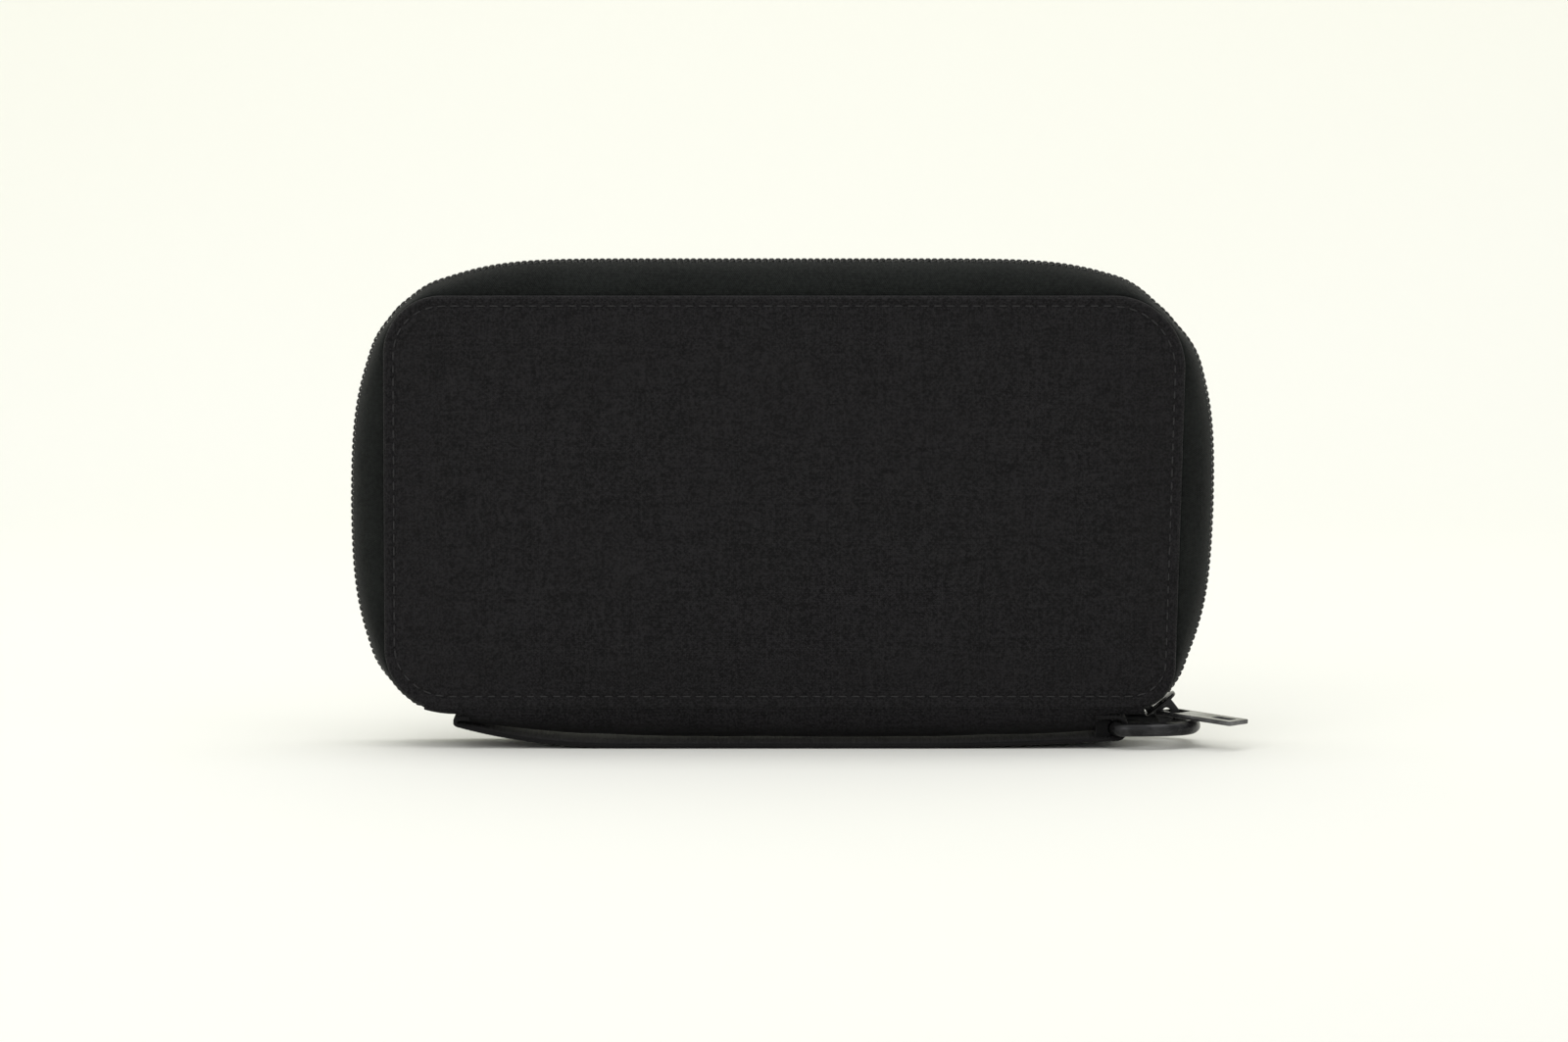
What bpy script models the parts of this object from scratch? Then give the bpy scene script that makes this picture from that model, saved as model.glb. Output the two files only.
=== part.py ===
"""Zip-around travel document organizer, standing on its spine.

Frame: +X to the right along the spine, +Y away from the front cover, +Z up.
The origin is on the surface it stands on, under the middle of the carry strap.
"""

import math

import bmesh
import bpy
from mathutils import Matrix, Vector

MM = 0.001

# Covers: the outline of each cover's seam, as corners and their radii.
LEFT = -109.5 * MM
RIGHT_TOP = 110.8 * MM
RIGHT_BOTTOM = 107.6 * MM
BOTTOM = 10.6 * MM
TOP = 124.6 * MM
RADIUS_BOTTOM_LEFT = 17 * MM
RADIUS_TOP_LEFT = 16 * MM
RADIUS_TOP_RIGHT = 20 * MM
RADIUS_BOTTOM_RIGHT = 12 * MM

GAP = 0.3 * MM
SHELL = 1.6 * MM
RIM_ROUND = 0.4 * MM
CROWN = 1.2 * MM
CROWN_SPAN = 11.5 * MM
BOARD = 1.2 * MM
BOARD_INSET = 4 * MM
CLOTH = 0.8 * MM
LINING_INSET = 1.5 * MM
POCKET_CLOTH = 0.7 * MM
RIM = 12.2 * MM
HINGE_Z = BOTTOM - 1.5 * GAP

# Zip: how far the tapes stand out from the seam, and the chain on their edges.
BULGE_MIDDLE = 9.5 * MM
BULGE_CORNER = 1.5 * MM
BULGE_START = 3 * MM
BULGE_REACH = 17 * MM
BULGE_POWER = 1.5
COIL_WIDTH = 2.2 * MM
COIL_HEIGHT = 2.0 * MM
COIL_SPLIT = 0.25 * MM
TAPE_TUCK = 2.5 * MM
TAPE_ARC_STEPS = 4
STATION = 12 * MM
CORNER_STEPS = 6
CHAIN_END_Z = 24 * MM
STOP_LENGTH = 2.4 * MM
STOP_WIDTH = 4.2 * MM
STOP_CLEARANCE = 0.9 * MM

# Slider and pull.
SLIDER_LENGTH = 9.6 * MM
SLIDER_LEAN = math.radians(38)
SLIDER_CORNER_ANGLE = math.radians(-54)
SLIDER_HALF_WIDTH = 5.5 * MM
PLATE = 0.7 * MM
PLATE_OUT = 0.3 * MM
PLATE_IN = COIL_HEIGHT + 1.2 * MM
PLATE_BEVEL = 0.25 * MM
POST_LENGTH = 2.6 * MM
POST_WIDTH = 3.0 * MM
BRIDGE_WIDTH = 1.4 * MM
BRIDGE_LEG = 0.8 * MM
BRIDGE_HALF_LENGTH = 2.9 * MM
BRIDGE_UNDER = 5.1 * MM
BRIDGE_TOP = 5.9 * MM
PIVOT_HEIGHT = 3.5 * MM
PULL_YAW = math.radians(40)
PULL_DROP = math.radians(3)
PULL_REACH = 24.9 * MM
PULL_WIDTH = 8.4 * MM
PULL_THICKNESS = 1.2 * MM
PULL_BAR = 1.1 * MM
PULL_WINDOW = (5.6 * MM, 6.2 * MM)
PULL_SLOT = (6.5 * MM, 3.6 * MM)
PULL_SLOT_MARGIN = 2.0 * MM

# Pockets and pen loop, on the covers' linings.
POCKET_BOTTOM = 15 * MM
POCKET_LEFT = -97 * MM
FRONT_POCKET_RIGHT = 84 * MM
TICKET_TOP = 92 * MM
BOARDING_PASS_TOP = 64 * MM
PASSPORT_RIGHT = -2 * MM
PASSPORT_TOP = 104 * MM
CARD_LEFT = 4 * MM
CARD_RIGHT = 95 * MM
CARD_TOP = 80 * MM
CARD_STEP = 14 * MM
CARD_COUNT = 3
PEN_X = 91.5 * MM
PEN_LOW = 46 * MM
PEN_HIGH = 74 * MM
PEN_HALF = (5.2 * MM, 4.4 * MM)
PEN_WALL = 0.8 * MM
PEN_SIDES = 16

# Spine and carry strap.
SPINE_LEFT = -85.4 * MM
SPINE_RIGHT = 85.4 * MM
SPINE_HALF = 11.6 * MM
SPINE_TOP = BOTTOM - 2 * GAP
SPINE_SAG = 7.5 * MM
SPINE_LEFT_SAG = 3.6 * MM
SPINE_RIGHT_SAG = 5.9 * MM
SPINE_SHELL = 1.0 * MM
SPINE_BOARD_HALF = 8.4 * MM
SPINE_LINING_HALF = 7.6 * MM
SPINE_BOARD_TOP = SPINE_TOP + 0.9 * MM
STRAP_HALF_WIDTH = 12.5 * MM
STRAP = 1.4 * MM
STRAP_FLAT_LEFT = -40 * MM
STRAP_FLAT_RIGHT = 38 * MM
STRAP_LEFT_X = -89.2 * MM
STRAP_LEFT_Z = 6.3 * MM
FOLD_RADIUS = 0.9 * MM
STRAP_TAIL_LEFT = 3 * MM
STRAP_TAIL_RIGHT = 5.4 * MM
STRAP_RISE_STEPS = 9
RING_WIRE = 2.0 * MM
RING_BAR = Vector((91.5, 0, 5.5)) * MM
RING_REACH = 21.9 * MM
RING_HALF = 14.8 * MM
RING_SIDES = 8
RING_BAR_STATIONS = 9
RING_BOW_START = 1.6 * MM
RING_BOW_STEPS = 24
RING_SQUARENESS = 0.62

COLOURS = {
    "shell_nylon": ((0.022, 0.020, 0.024), 0.85, 0.0),
    "lining_nylon": ((0.05, 0.05, 0.055), 0.8, 0.0),
    "board": ((0.18, 0.17, 0.15), 0.9, 0.0),
    "zip_tape": ((0.028, 0.031, 0.029), 0.9, 0.0),
    "zip_coil": ((0.02, 0.02, 0.021), 0.35, 0.0),
    "webbing": ((0.02, 0.019, 0.022), 0.8, 0.0),
    "black_metal": ((0.03, 0.03, 0.032), 0.35, 0.9),
    "elastic": ((0.03, 0.03, 0.033), 0.85, 0.0),
}


def clear_scene():
    for obj in list(bpy.data.objects):
        bpy.data.objects.remove(obj, do_unlink=True)


def material_for(obj, kind):
    colour, roughness, metallic = COLOURS[kind]
    material = bpy.data.materials.new(obj.name)
    material.use_nodes = True
    shader = material.node_tree.nodes["Principled BSDF"]
    shader.inputs["Base Color"].default_value = (*colour, 1)
    shader.inputs["Roughness"].default_value = roughness
    shader.inputs["Metallic"].default_value = metallic
    obj.data.materials.append(material)


def object_from(bm, name, kind, smooth=True):
    bmesh.ops.recalc_face_normals(bm, faces=bm.faces)
    mesh = bpy.data.meshes.new(name)
    bm.to_mesh(mesh)
    bm.free()
    obj = bpy.data.objects.new(name, mesh)
    bpy.context.collection.objects.link(obj)
    if smooth:
        mesh.shade_smooth()
        mesh.set_sharp_from_angle(angle=math.radians(35))
    if kind:
        material_for(obj, kind)
    return obj


def loft(name, kind, sections, ring=False, smooth=True):
    """Join equal rings of points in order; ring=True closes the last one to the first."""
    bm = bmesh.new()
    rows = [[bm.verts.new(point) for point in section] for section in sections]
    pairs = list(zip(rows, rows[1:]))
    if ring:
        pairs.append((rows[-1], rows[0]))
    count = len(rows[0])
    for low, high in pairs:
        for i in range(count):
            j = (i + 1) % count
            bm.faces.new((low[i], low[j], high[j], high[i]))
    if not ring:
        bm.faces.new(rows[0])
        bm.faces.new(rows[-1])
    return object_from(bm, name, kind, smooth)


def set_pivot(obj, point, parent=None):
    """Put the object's origin on its joint's axis without moving its mesh."""
    obj.data.transform(Matrix.Translation(-Vector(point)))
    obj.location = point
    if parent:
        obj.parent = parent
        obj.location = Vector(point) - parent.location


def corner_arcs():
    """Each corner's centre, radius, first direction and turn, clockwise from bottom left."""
    corners = [
        (Vector((LEFT, BOTTOM)), RADIUS_BOTTOM_LEFT),
        (Vector((LEFT, TOP)), RADIUS_TOP_LEFT),
        (Vector((RIGHT_TOP, TOP)), RADIUS_TOP_RIGHT),
        (Vector((RIGHT_BOTTOM, BOTTOM)), RADIUS_BOTTOM_RIGHT),
    ]
    arcs = []
    for i, (corner, radius) in enumerate(corners):
        before = (corner - corners[i - 1][0]).normalized()
        after = (corners[(i + 1) % 4][0] - corner).normalized()
        normal = Vector((-before.y, before.x))
        reach = radius / math.tan((math.pi - before.angle(after)) / 2)
        centre = corner - before * reach - normal * radius
        start = math.atan2(normal.y, normal.x)
        turn = -before.angle(after)
        arcs.append((centre, radius, start, turn))
    return arcs


def outline(inset=0.0, steps=8):
    """Points of a cover's outline, as closed (x, z), pulled in by inset."""
    points = []
    for centre, radius, start, turn in corner_arcs():
        for k in range(steps + 1):
            angle = start + turn * k / steps
            direction = Vector((math.cos(angle), math.sin(angle)))
            points.append(centre + direction * (radius - inset))
    return points


def zip_path():
    """Stations round the zip: seam point, outward normal and how far the zip stands out."""
    arcs = corner_arcs()
    stations = []
    for i, (centre, radius, start, turn) in enumerate(arcs):
        for k in range(CORNER_STEPS + 1):
            angle = start + turn * k / CORNER_STEPS
            normal = Vector((math.cos(angle), math.sin(angle)))
            stations.append((centre + normal * radius, normal))
        if i == len(arcs) - 1:
            break
        here = stations[-1][0]
        centre, radius, start, _ = arcs[i + 1]
        normal = Vector((math.cos(start), math.sin(start)))
        there = centre + normal * radius
        count = round((there - here).length / STATION)
        for k in range(1, count):
            stations.append((here.lerp(there, k / count), normal))
    return with_bulge(split_at_chain_end(stations), arcs)


def split_at_chain_end(stations):
    """Add a station where the chain ends, low on the right side."""
    result = []
    for here, there in zip(stations, stations[1:]):
        result.append(here)
        on_right = here[0].x > 0 and here[0].y > CHAIN_END_Z > there[0].y
        if on_right:
            share = (here[0].y - CHAIN_END_Z) / (here[0].y - there[0].y)
            result.append((here[0].lerp(there[0], share), here[1].lerp(there[1], share).normalized()))
    result.append(stations[-1])
    return result


def with_bulge(stations, arcs):
    """The zip stands out least at the corners and most midway between them."""
    middles = []
    for centre, radius, start, turn in arcs:
        angle = start + turn / 2
        middles.append(centre + Vector((math.cos(angle), math.sin(angle))) * radius)
    result = []
    for point, normal in stations:
        distance = min((point - middle).length for middle in middles)
        beyond = max(distance - BULGE_START, 0) / BULGE_REACH
        share = 1 - math.exp(-beyond ** BULGE_POWER)
        if normal.y < -0.9:
            share = 0
        result.append((point, normal, BULGE_CORNER + (BULGE_MIDDLE - BULGE_CORNER) * share))
    return result


def is_past_chain(point):
    return point.x > 0 and point.y < CHAIN_END_Z - 0.01 * MM


def out_from(point, normal, offset, y):
    flat = point + normal * offset
    return Vector((flat.x, y, flat.y))


def slab(name, kind, side, stations):
    """A cover layer: stations are (inset, depth), from the inside face to the outside one."""
    sections = []
    for inset, depth in stations:
        sections.append([Vector((p.x, side * depth, p.y)) for p in outline(inset)])
    return loft(name, kind, sections)


def cover_shell(name, side):
    """A cover's padded cloth: round at the rim, then crowned towards the middle."""
    inner = RIM - SHELL
    stations = [
        (0.7 * RIM_ROUND, inner),
        (0, inner + RIM_ROUND),
        (0, RIM - RIM_ROUND),
        (RIM_ROUND, RIM),
    ]
    for share, rise in ((0.3, 0.1), (0.6, 0.4), (1.0, 1.0)):
        stations.append((CROWN_SPAN * share, RIM + CROWN * rise))
    return slab(name, "shell_nylon", side, stations)


def cover_board(name, side):
    outer = RIM - SHELL - GAP
    return slab(name, "board", side, [(BOARD_INSET, outer - BOARD), (BOARD_INSET, outer)])


def cover_lining(name, side):
    outer = RIM - SHELL - BOARD - 2 * GAP
    return slab(name, "lining_nylon", side, [(LINING_INSET, outer - CLOTH), (LINING_INSET, outer)])


def lining_face():
    return RIM - SHELL - BOARD - CLOTH - 3 * GAP


def tape_section(point, normal, bulge, side):
    """A tape's cut: tucked under the cover's rim, then a quarter of an ellipse to the chain."""
    root = RIM - SHELL - GAP
    edge = COIL_SPLIT + COIL_WIDTH + GAP
    if is_past_chain(point):
        edge = SLIDER_HALF_WIDTH + 0.9 * MM
    last = math.acos(edge / root)
    outer = [out_from(point, normal, -TAPE_TUCK, side * root)]
    inner = [out_from(point, normal, -TAPE_TUCK, side * (root - CLOTH))]
    for k in range(TAPE_ARC_STEPS + 1):
        angle = last * k / TAPE_ARC_STEPS
        rise = bulge * math.sin(angle)
        outer.append(out_from(point, normal, rise, side * root * math.cos(angle)))
        inner_y = max((root - CLOTH) * math.cos(angle), edge)
        inner.append(out_from(point, normal, rise - CLOTH * math.sin(angle), side * inner_y))
    return outer + inner[::-1]


def zip_tape(name, side):
    sections = [tape_section(p, n, bulge, side) for p, n, bulge in zip_path()]
    return loft(name, "zip_tape", sections)


def chain_stations():
    """The chain starts one station after the tape, which leaves room for its stop."""
    return [station for station in zip_path()[1:] if not is_past_chain(station[0])]


def coil_half(name, side):
    near = side * COIL_SPLIT
    far = side * (COIL_SPLIT + COIL_WIDTH)
    sections = []
    for point, normal, bulge in chain_stations():
        low = bulge - COIL_HEIGHT
        sections.append([
            out_from(point, normal, low, near),
            out_from(point, normal, bulge, near),
            out_from(point, normal, bulge, far),
            out_from(point, normal, low, far),
        ])
    return loft(name, "zip_coil", sections)


def box_mesh(bm, low, high):
    """A box between two opposite corners, added to bm."""
    size = Vector(high) - Vector(low)
    middle = (Vector(high) + Vector(low)) / 2
    matrix = Matrix.Translation(middle) @ Matrix.Diagonal((*size, 1))
    bmesh.ops.create_cube(bm, size=1, matrix=matrix)


def box(name, kind, low, high, bevel=0.0):
    bm = bmesh.new()
    box_mesh(bm, low, high)
    if bevel:
        bmesh.ops.bevel(bm, geom=bm.edges[:], offset=bevel, segments=1, affect="EDGES")
    return object_from(bm, name, kind)


def bottom_stop():
    """The crimp that ends the chain at the spine's left end."""
    stations = zip_path()
    left = stations[1][0].x + STOP_CLEARANCE
    right = left + STOP_LENGTH
    low = BOTTOM - BULGE_CORNER
    high = low + COIL_HEIGHT
    half = STOP_WIDTH / 2
    return box("zip_bottom_stop", "black_metal", (left, -half, low), (right, half, high), 0.3 * MM)


def pocket(name, side, layer, low_x, high_x, low_z, high_z):
    """A flat pocket panel on a cover's lining; layer 0 lies on the lining."""
    outer = lining_face() - GAP - layer * (POCKET_CLOTH + GAP)
    ys = sorted((side * outer, side * (outer - POCKET_CLOTH)))
    return box(name, "lining_nylon", (low_x, ys[0], low_z), (high_x, ys[1], high_z))


def pockets():
    pocket("ticket_pocket", -1, 0, POCKET_LEFT, FRONT_POCKET_RIGHT, POCKET_BOTTOM, TICKET_TOP)
    pocket("boarding_pass_pocket", -1, 1, POCKET_LEFT, FRONT_POCKET_RIGHT, POCKET_BOTTOM, BOARDING_PASS_TOP)
    pocket("passport_pocket", 1, 0, POCKET_LEFT, PASSPORT_RIGHT, POCKET_BOTTOM, PASSPORT_TOP)
    for k in range(CARD_COUNT):
        pocket(f"card_pocket_{k + 1}", 1, k, CARD_LEFT, CARD_RIGHT, POCKET_BOTTOM, CARD_TOP - k * CARD_STEP)


def pen_loop():
    """An elastic band standing off the front lining as a loop for a pen."""
    half_x, half_y = PEN_HALF
    centre_y = -(lining_face() - GAP - half_y)
    sections = []
    for inside, z in ((0, PEN_LOW), (0, PEN_HIGH), (PEN_WALL, PEN_HIGH), (PEN_WALL, PEN_LOW)):
        section = []
        for k in range(PEN_SIDES):
            angle = 2 * math.pi * k / PEN_SIDES
            x = PEN_X + (half_x - inside) * math.cos(angle)
            y = centre_y + (half_y - inside) * math.sin(angle)
            section.append(Vector((x, y, z)))
        sections.append(section)
    return loft("pen_loop", "elastic", sections, ring=True)


def spine_sag(x):
    """How far the spine hangs below the covers' edges: most in the middle, least at the left."""
    end_sag = SPINE_RIGHT_SAG if x > 0 else SPINE_LEFT_SAG
    return SPINE_SAG + (end_sag - SPINE_SAG) * abs(x / SPINE_RIGHT) ** 3


def spine_band(name, kind, inset, thickness):
    """A layer of the spine, hung between the covers' lower edges and bowed downwards."""
    sections = []
    steps = 8
    count = 12
    for i in range(count + 1):
        x = SPINE_LEFT + inset / 2 + (SPINE_RIGHT - SPINE_LEFT - inset) * i / count
        section = []
        for depth in (inset, inset + thickness):
            half = SPINE_HALF - depth
            sag = max(spine_sag(x) - depth, 0.2 * MM)
            arc = [math.pi * k / steps for k in range(steps + 1)]
            points = [Vector((x, half * math.cos(a), SPINE_TOP - sag * math.sin(a) ** 0.8)) for a in arc]
            section += points if depth == inset else points[::-1]
        sections.append(section)
    return loft(name, kind, sections)


def spine_board():
    """A flat stiffener across the spine, between its cloth and the lining above it."""
    low = (SPINE_LEFT + 2 * MM, -SPINE_BOARD_HALF, SPINE_BOARD_TOP - BOARD)
    high = (SPINE_RIGHT - 2 * MM, SPINE_BOARD_HALF, SPINE_BOARD_TOP)
    return box("spine_board", "board", low, high)


def spine_lining():
    low_z = SPINE_BOARD_TOP + GAP
    low = (SPINE_LEFT + 1 * MM, -SPINE_LINING_HALF, low_z)
    high = (SPINE_RIGHT - 1 * MM, SPINE_LINING_HALF, low_z + CLOTH)
    return box("spine_lining", "lining_nylon", low, high)


def arc(centre, radius, start, end, steps):
    """Points of an arc in the (x, z) plane, between two angles in degrees."""
    points = []
    for k in range(steps + 1):
        angle = math.radians(start + (end - start) * k / steps)
        points.append(centre + Vector((math.cos(angle), math.sin(angle))) * radius)
    return points


def rise(start, end, power):
    """Points from a flat start up to a higher end, steeper towards the end."""
    points = []
    for k in range(STRAP_RISE_STEPS):
        share = k / STRAP_RISE_STEPS
        span = end - start
        points.append(start + Vector((span.x * share, span.y * share ** power)))
    return points


def strap_line():
    """The webbing's centre line in (x, z), left fold to right loop."""
    half = STRAP / 2
    fold = Vector((STRAP_LEFT_X, STRAP_LEFT_Z + FOLD_RADIUS))
    bar = Vector((RING_BAR.x, RING_BAR.z))
    loop_radius = RING_WIRE + GAP + half
    left_rise = rise(Vector((STRAP_FLAT_LEFT, half)), Vector((STRAP_LEFT_X, STRAP_LEFT_Z)), 2.4)
    right_end = bar - Vector((0, loop_radius))
    line = [fold + Vector((STRAP_TAIL_LEFT, FOLD_RADIUS))]
    line += arc(fold, FOLD_RADIUS, 90, 270, 6)
    line += left_rise[::-1]
    line += rise(Vector((STRAP_FLAT_RIGHT, half)), right_end, 1.5)
    line += arc(bar, loop_radius, -90, 90, 8)
    line.append(bar + Vector((-STRAP_TAIL_RIGHT, loop_radius)))
    return line


def carry_strap():
    line = strap_line()
    sections = []
    for i, point in enumerate(line):
        before = line[max(i - 1, 0)]
        after = line[min(i + 1, len(line) - 1)]
        along = (after - before).normalized()
        across = Vector((-along.y, along.x)) * STRAP / 2
        low = point - across
        high = point + across
        w = STRAP_HALF_WIDTH
        sections.append([
            Vector((low.x, -w, low.y)),
            Vector((low.x, w, low.y)),
            Vector((high.x, w, high.y)),
            Vector((high.x, -w, high.y)),
        ])
    return loft("carry_strap", "webbing", sections)


def ring_path():
    """The D-ring's wire centre: a straight bar, then a rounded bow out to +X."""
    bar_half = RING_HALF - RING_WIRE
    points = []
    for k in range(RING_BAR_STATIONS):
        points.append(Vector((0, -bar_half + 2 * bar_half * k / (RING_BAR_STATIONS - 1), 0)))
    bow = RING_REACH - RING_BOW_START
    for k in range(RING_BOW_STEPS + 1):
        angle = math.pi / 2 - math.pi * k / RING_BOW_STEPS
        out = abs(math.cos(angle)) ** RING_SQUARENESS
        along = math.copysign(abs(math.sin(angle)) ** RING_SQUARENESS, angle)
        points.append(Vector((RING_BOW_START + bow * out, RING_HALF * along, 0)))
    return points


def d_ring():
    path = ring_path()
    sections = []
    count = len(path)
    for i, point in enumerate(path):
        along = (path[(i + 1) % count] - path[i - 1]).normalized()
        side = Vector((along.y, -along.x, 0))
        section = []
        for k in range(RING_SIDES):
            angle = 2 * math.pi * (k + 0.5) / RING_SIDES
            offset = side * math.cos(angle) + Vector((0, 0, 1)) * math.sin(angle)
            section.append(RING_BAR + point + offset * RING_WIRE)
        sections.append(section)
    ring = loft("d_ring", "black_metal", sections, ring=True)
    set_pivot(ring, RING_BAR)
    return ring


def slider_frame():
    """The slider's own axes: x up the chain, y across it, z out of the case."""
    corner, radius, _, _ = corner_arcs()[-1]
    normal = Vector((math.cos(SLIDER_CORNER_ANGLE), math.sin(SLIDER_CORNER_ANGLE)))
    middle = out_from(corner + normal * radius, normal, BULGE_CORNER, 0)
    up = Vector((math.cos(SLIDER_LEAN), 0, math.sin(SLIDER_LEAN)))
    out = Vector((up.z, 0, -up.x))
    across = out.cross(up)
    matrix = Matrix((up, across, out)).transposed().to_4x4()
    matrix.translation = middle
    return matrix


def union(target, cutters):
    for tool in cutters:
        modifier = target.modifiers.new("Join", "BOOLEAN")
        modifier.operation = "UNION"
        modifier.solver = "EXACT"
        modifier.object = tool
        hide_tool(tool)


def cut(target, cutters):
    for tool in cutters:
        modifier = target.modifiers.new("Cut", "BOOLEAN")
        modifier.operation = "DIFFERENCE"
        modifier.solver = "EXACT"
        modifier.object = tool
        hide_tool(tool)


def hide_tool(tool):
    tool.hide_render = True
    tool.display_type = "WIRE"


def zip_slider():
    """Two plates joined by a post at the trailing end, with a bridge for the pull."""
    half = SLIDER_LENGTH / 2
    w = SLIDER_HALF_WIDTH
    outer = ((-half, -w, PLATE_OUT), (half, w, PLATE_OUT + PLATE))
    inner = ((-half, -w, -PLATE_IN - PLATE), (half, w, -PLATE_IN))
    overlap = 0.3 * MM
    post = (
        (-half + 0.4 * MM, -POST_WIDTH / 2, -PLATE_IN - overlap),
        (-half + POST_LENGTH, POST_WIDTH / 2, PLATE_OUT + overlap),
    )
    reach = BRIDGE_HALF_LENGTH
    b = BRIDGE_WIDTH / 2
    foot = PLATE_OUT + PLATE - overlap
    bridge = ((-reach, -b, foot), (reach, b, BRIDGE_TOP))
    arch = ((-reach + BRIDGE_LEG, -2 * b, foot + overlap), (reach - BRIDGE_LEG, 2 * b, BRIDGE_UNDER))
    slider = box("zip_slider", "black_metal", *outer, PLATE_BEVEL)
    loop = box("bridge_tool", None, *bridge, 0.25 * MM)
    cut(loop, [box("arch_tool", None, *arch)])
    tools = [box("inner_plate_tool", None, *inner, PLATE_BEVEL), box("post_tool", None, *post), loop]
    union(slider, tools)
    frame = slider_frame()
    for obj in [slider, *tools, bpy.data.objects["arch_tool"]]:
        obj.matrix_world = frame
    return slider


def pull_frame():
    """The pull's own axes: x along it, y across, z off its face; origin on its pivot."""
    frame = slider_frame()
    pivot = frame @ Vector((0, 0, PIVOT_HEIGHT))
    flat = math.cos(PULL_DROP)
    along = Vector((flat * math.cos(PULL_YAW), -flat * math.sin(PULL_YAW), -math.sin(PULL_DROP)))
    across = Vector((math.sin(PULL_YAW), math.cos(PULL_YAW), 0))
    face = along.cross(across)
    matrix = Matrix((along, across, face)).transposed().to_4x4()
    matrix.translation = pivot
    return matrix


def pull_tab():
    """A flat pull with a window round the slider's bridge and a slot near its free end."""
    w = PULL_WIDTH / 2
    t = PULL_THICKNESS / 2
    start = -PULL_BAR / 2
    tab = box("pull_tab", "black_metal", (start, -w, -t), (PULL_REACH, w, t), PLATE_BEVEL)
    window_end = PULL_BAR / 2 + PULL_WINDOW[0]
    window_half = PULL_WINDOW[1] / 2
    window = box("window_tool", None, (PULL_BAR / 2, -window_half, -2 * t), (window_end, window_half, 2 * t))
    slot_end = PULL_REACH - PULL_SLOT_MARGIN
    slot_half = PULL_SLOT[1] / 2
    slot = box("slot_tool", None, (slot_end - PULL_SLOT[0], -slot_half, -2 * t), (slot_end, slot_half, 2 * t))
    cut(tab, [window, slot])
    for obj in (tab, window, slot):
        obj.matrix_world = pull_frame()
    return tab


def cover(prefix, side):
    """One cover with its half of the zip, turning on the fold at its lower edge."""
    pivot = bpy.data.objects.new(f"{prefix}_hinge", None)
    bpy.context.collection.objects.link(pivot)
    pivot.location = (0, side * RIM, HINGE_Z)
    makers = (
        (cover_shell, "panel"),
        (cover_board, "board"),
        (cover_lining, "lining"),
        (zip_tape, "zip_tape"),
        (coil_half, "zip_coil"),
    )
    for maker, part_name in makers:
        piece = maker(f"{prefix}_{part_name}", side)
        set_pivot(piece, pivot.location, pivot)


def main():
    clear_scene()
    cover("front", -1)
    cover("back", 1)
    pockets()
    pen_loop()
    spine_band("spine_panel", "shell_nylon", 0.0, SPINE_SHELL)
    spine_board()
    spine_lining()
    carry_strap()
    d_ring()
    bottom_stop()
    zip_slider()
    pull_tab()


main()
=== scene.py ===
"""Looks for the zip-around travel document organizer: woven nylon, coil zip, webbing and metal."""

from math import acos, atan2, copysign, cos, exp, floor, pi, radians, sin, sqrt, tan, tanh

import bmesh
import bpy
from mathutils import Matrix, Vector, noise


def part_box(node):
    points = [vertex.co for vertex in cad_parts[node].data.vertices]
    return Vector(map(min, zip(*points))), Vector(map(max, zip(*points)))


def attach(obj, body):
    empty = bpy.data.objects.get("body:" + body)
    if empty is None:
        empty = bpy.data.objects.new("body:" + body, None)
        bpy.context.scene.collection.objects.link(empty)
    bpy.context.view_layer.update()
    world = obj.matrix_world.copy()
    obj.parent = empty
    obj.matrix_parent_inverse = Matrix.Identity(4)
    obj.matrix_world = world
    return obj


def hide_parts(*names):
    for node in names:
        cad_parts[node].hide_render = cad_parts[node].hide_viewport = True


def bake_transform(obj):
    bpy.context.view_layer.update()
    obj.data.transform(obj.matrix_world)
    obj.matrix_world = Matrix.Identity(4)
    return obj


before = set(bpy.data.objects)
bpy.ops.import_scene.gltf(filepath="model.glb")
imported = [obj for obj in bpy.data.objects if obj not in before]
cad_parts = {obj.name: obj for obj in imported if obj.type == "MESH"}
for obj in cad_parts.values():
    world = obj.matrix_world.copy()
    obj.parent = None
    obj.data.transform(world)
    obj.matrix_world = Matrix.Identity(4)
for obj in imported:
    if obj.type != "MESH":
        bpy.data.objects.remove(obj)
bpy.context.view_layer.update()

MM = 0.001
FRONT = -1
BACK = 1

# The covers' outline, from the CAD panels, and their corner radii.
PANEL_LOW, PANEL_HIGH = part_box("back_panel")
LEFT = PANEL_LOW[0]
BOTTOM = PANEL_LOW[2]
TOP = PANEL_HIGH[2]
RIGHT_TOP = 110.8 * MM
RIGHT_BOTTOM = 107.6 * MM
RADII = (17 * MM, 16 * MM, 20 * MM, 12 * MM)
PANEL_INNER = PANEL_LOW[1]
PANEL_RIM = 12.2 * MM
RIM_ROLL = 1.1 * MM
FACE_RINGS = 22
FACE_CORE = 54 * MM
# Insets of the rings over the rim, in millimetres.
RIM_INSETS = (0.0, 0.06, 0.18, 0.35, 0.6, 0.9, 1.3, 1.7, 2.1, 2.4, 2.7, 2.9, 3.1, 3.4,
              3.7, 4.0, 4.4, 4.9, 5.6, 6.5, 7.6, 8.8, 10.0, 11.2)

# The simulated crown of a cover's face.
GRID = 3.5 * MM
CLOTH_FRAMES = 20
CROWN_LIMIT = 1.05 * MM

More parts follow.
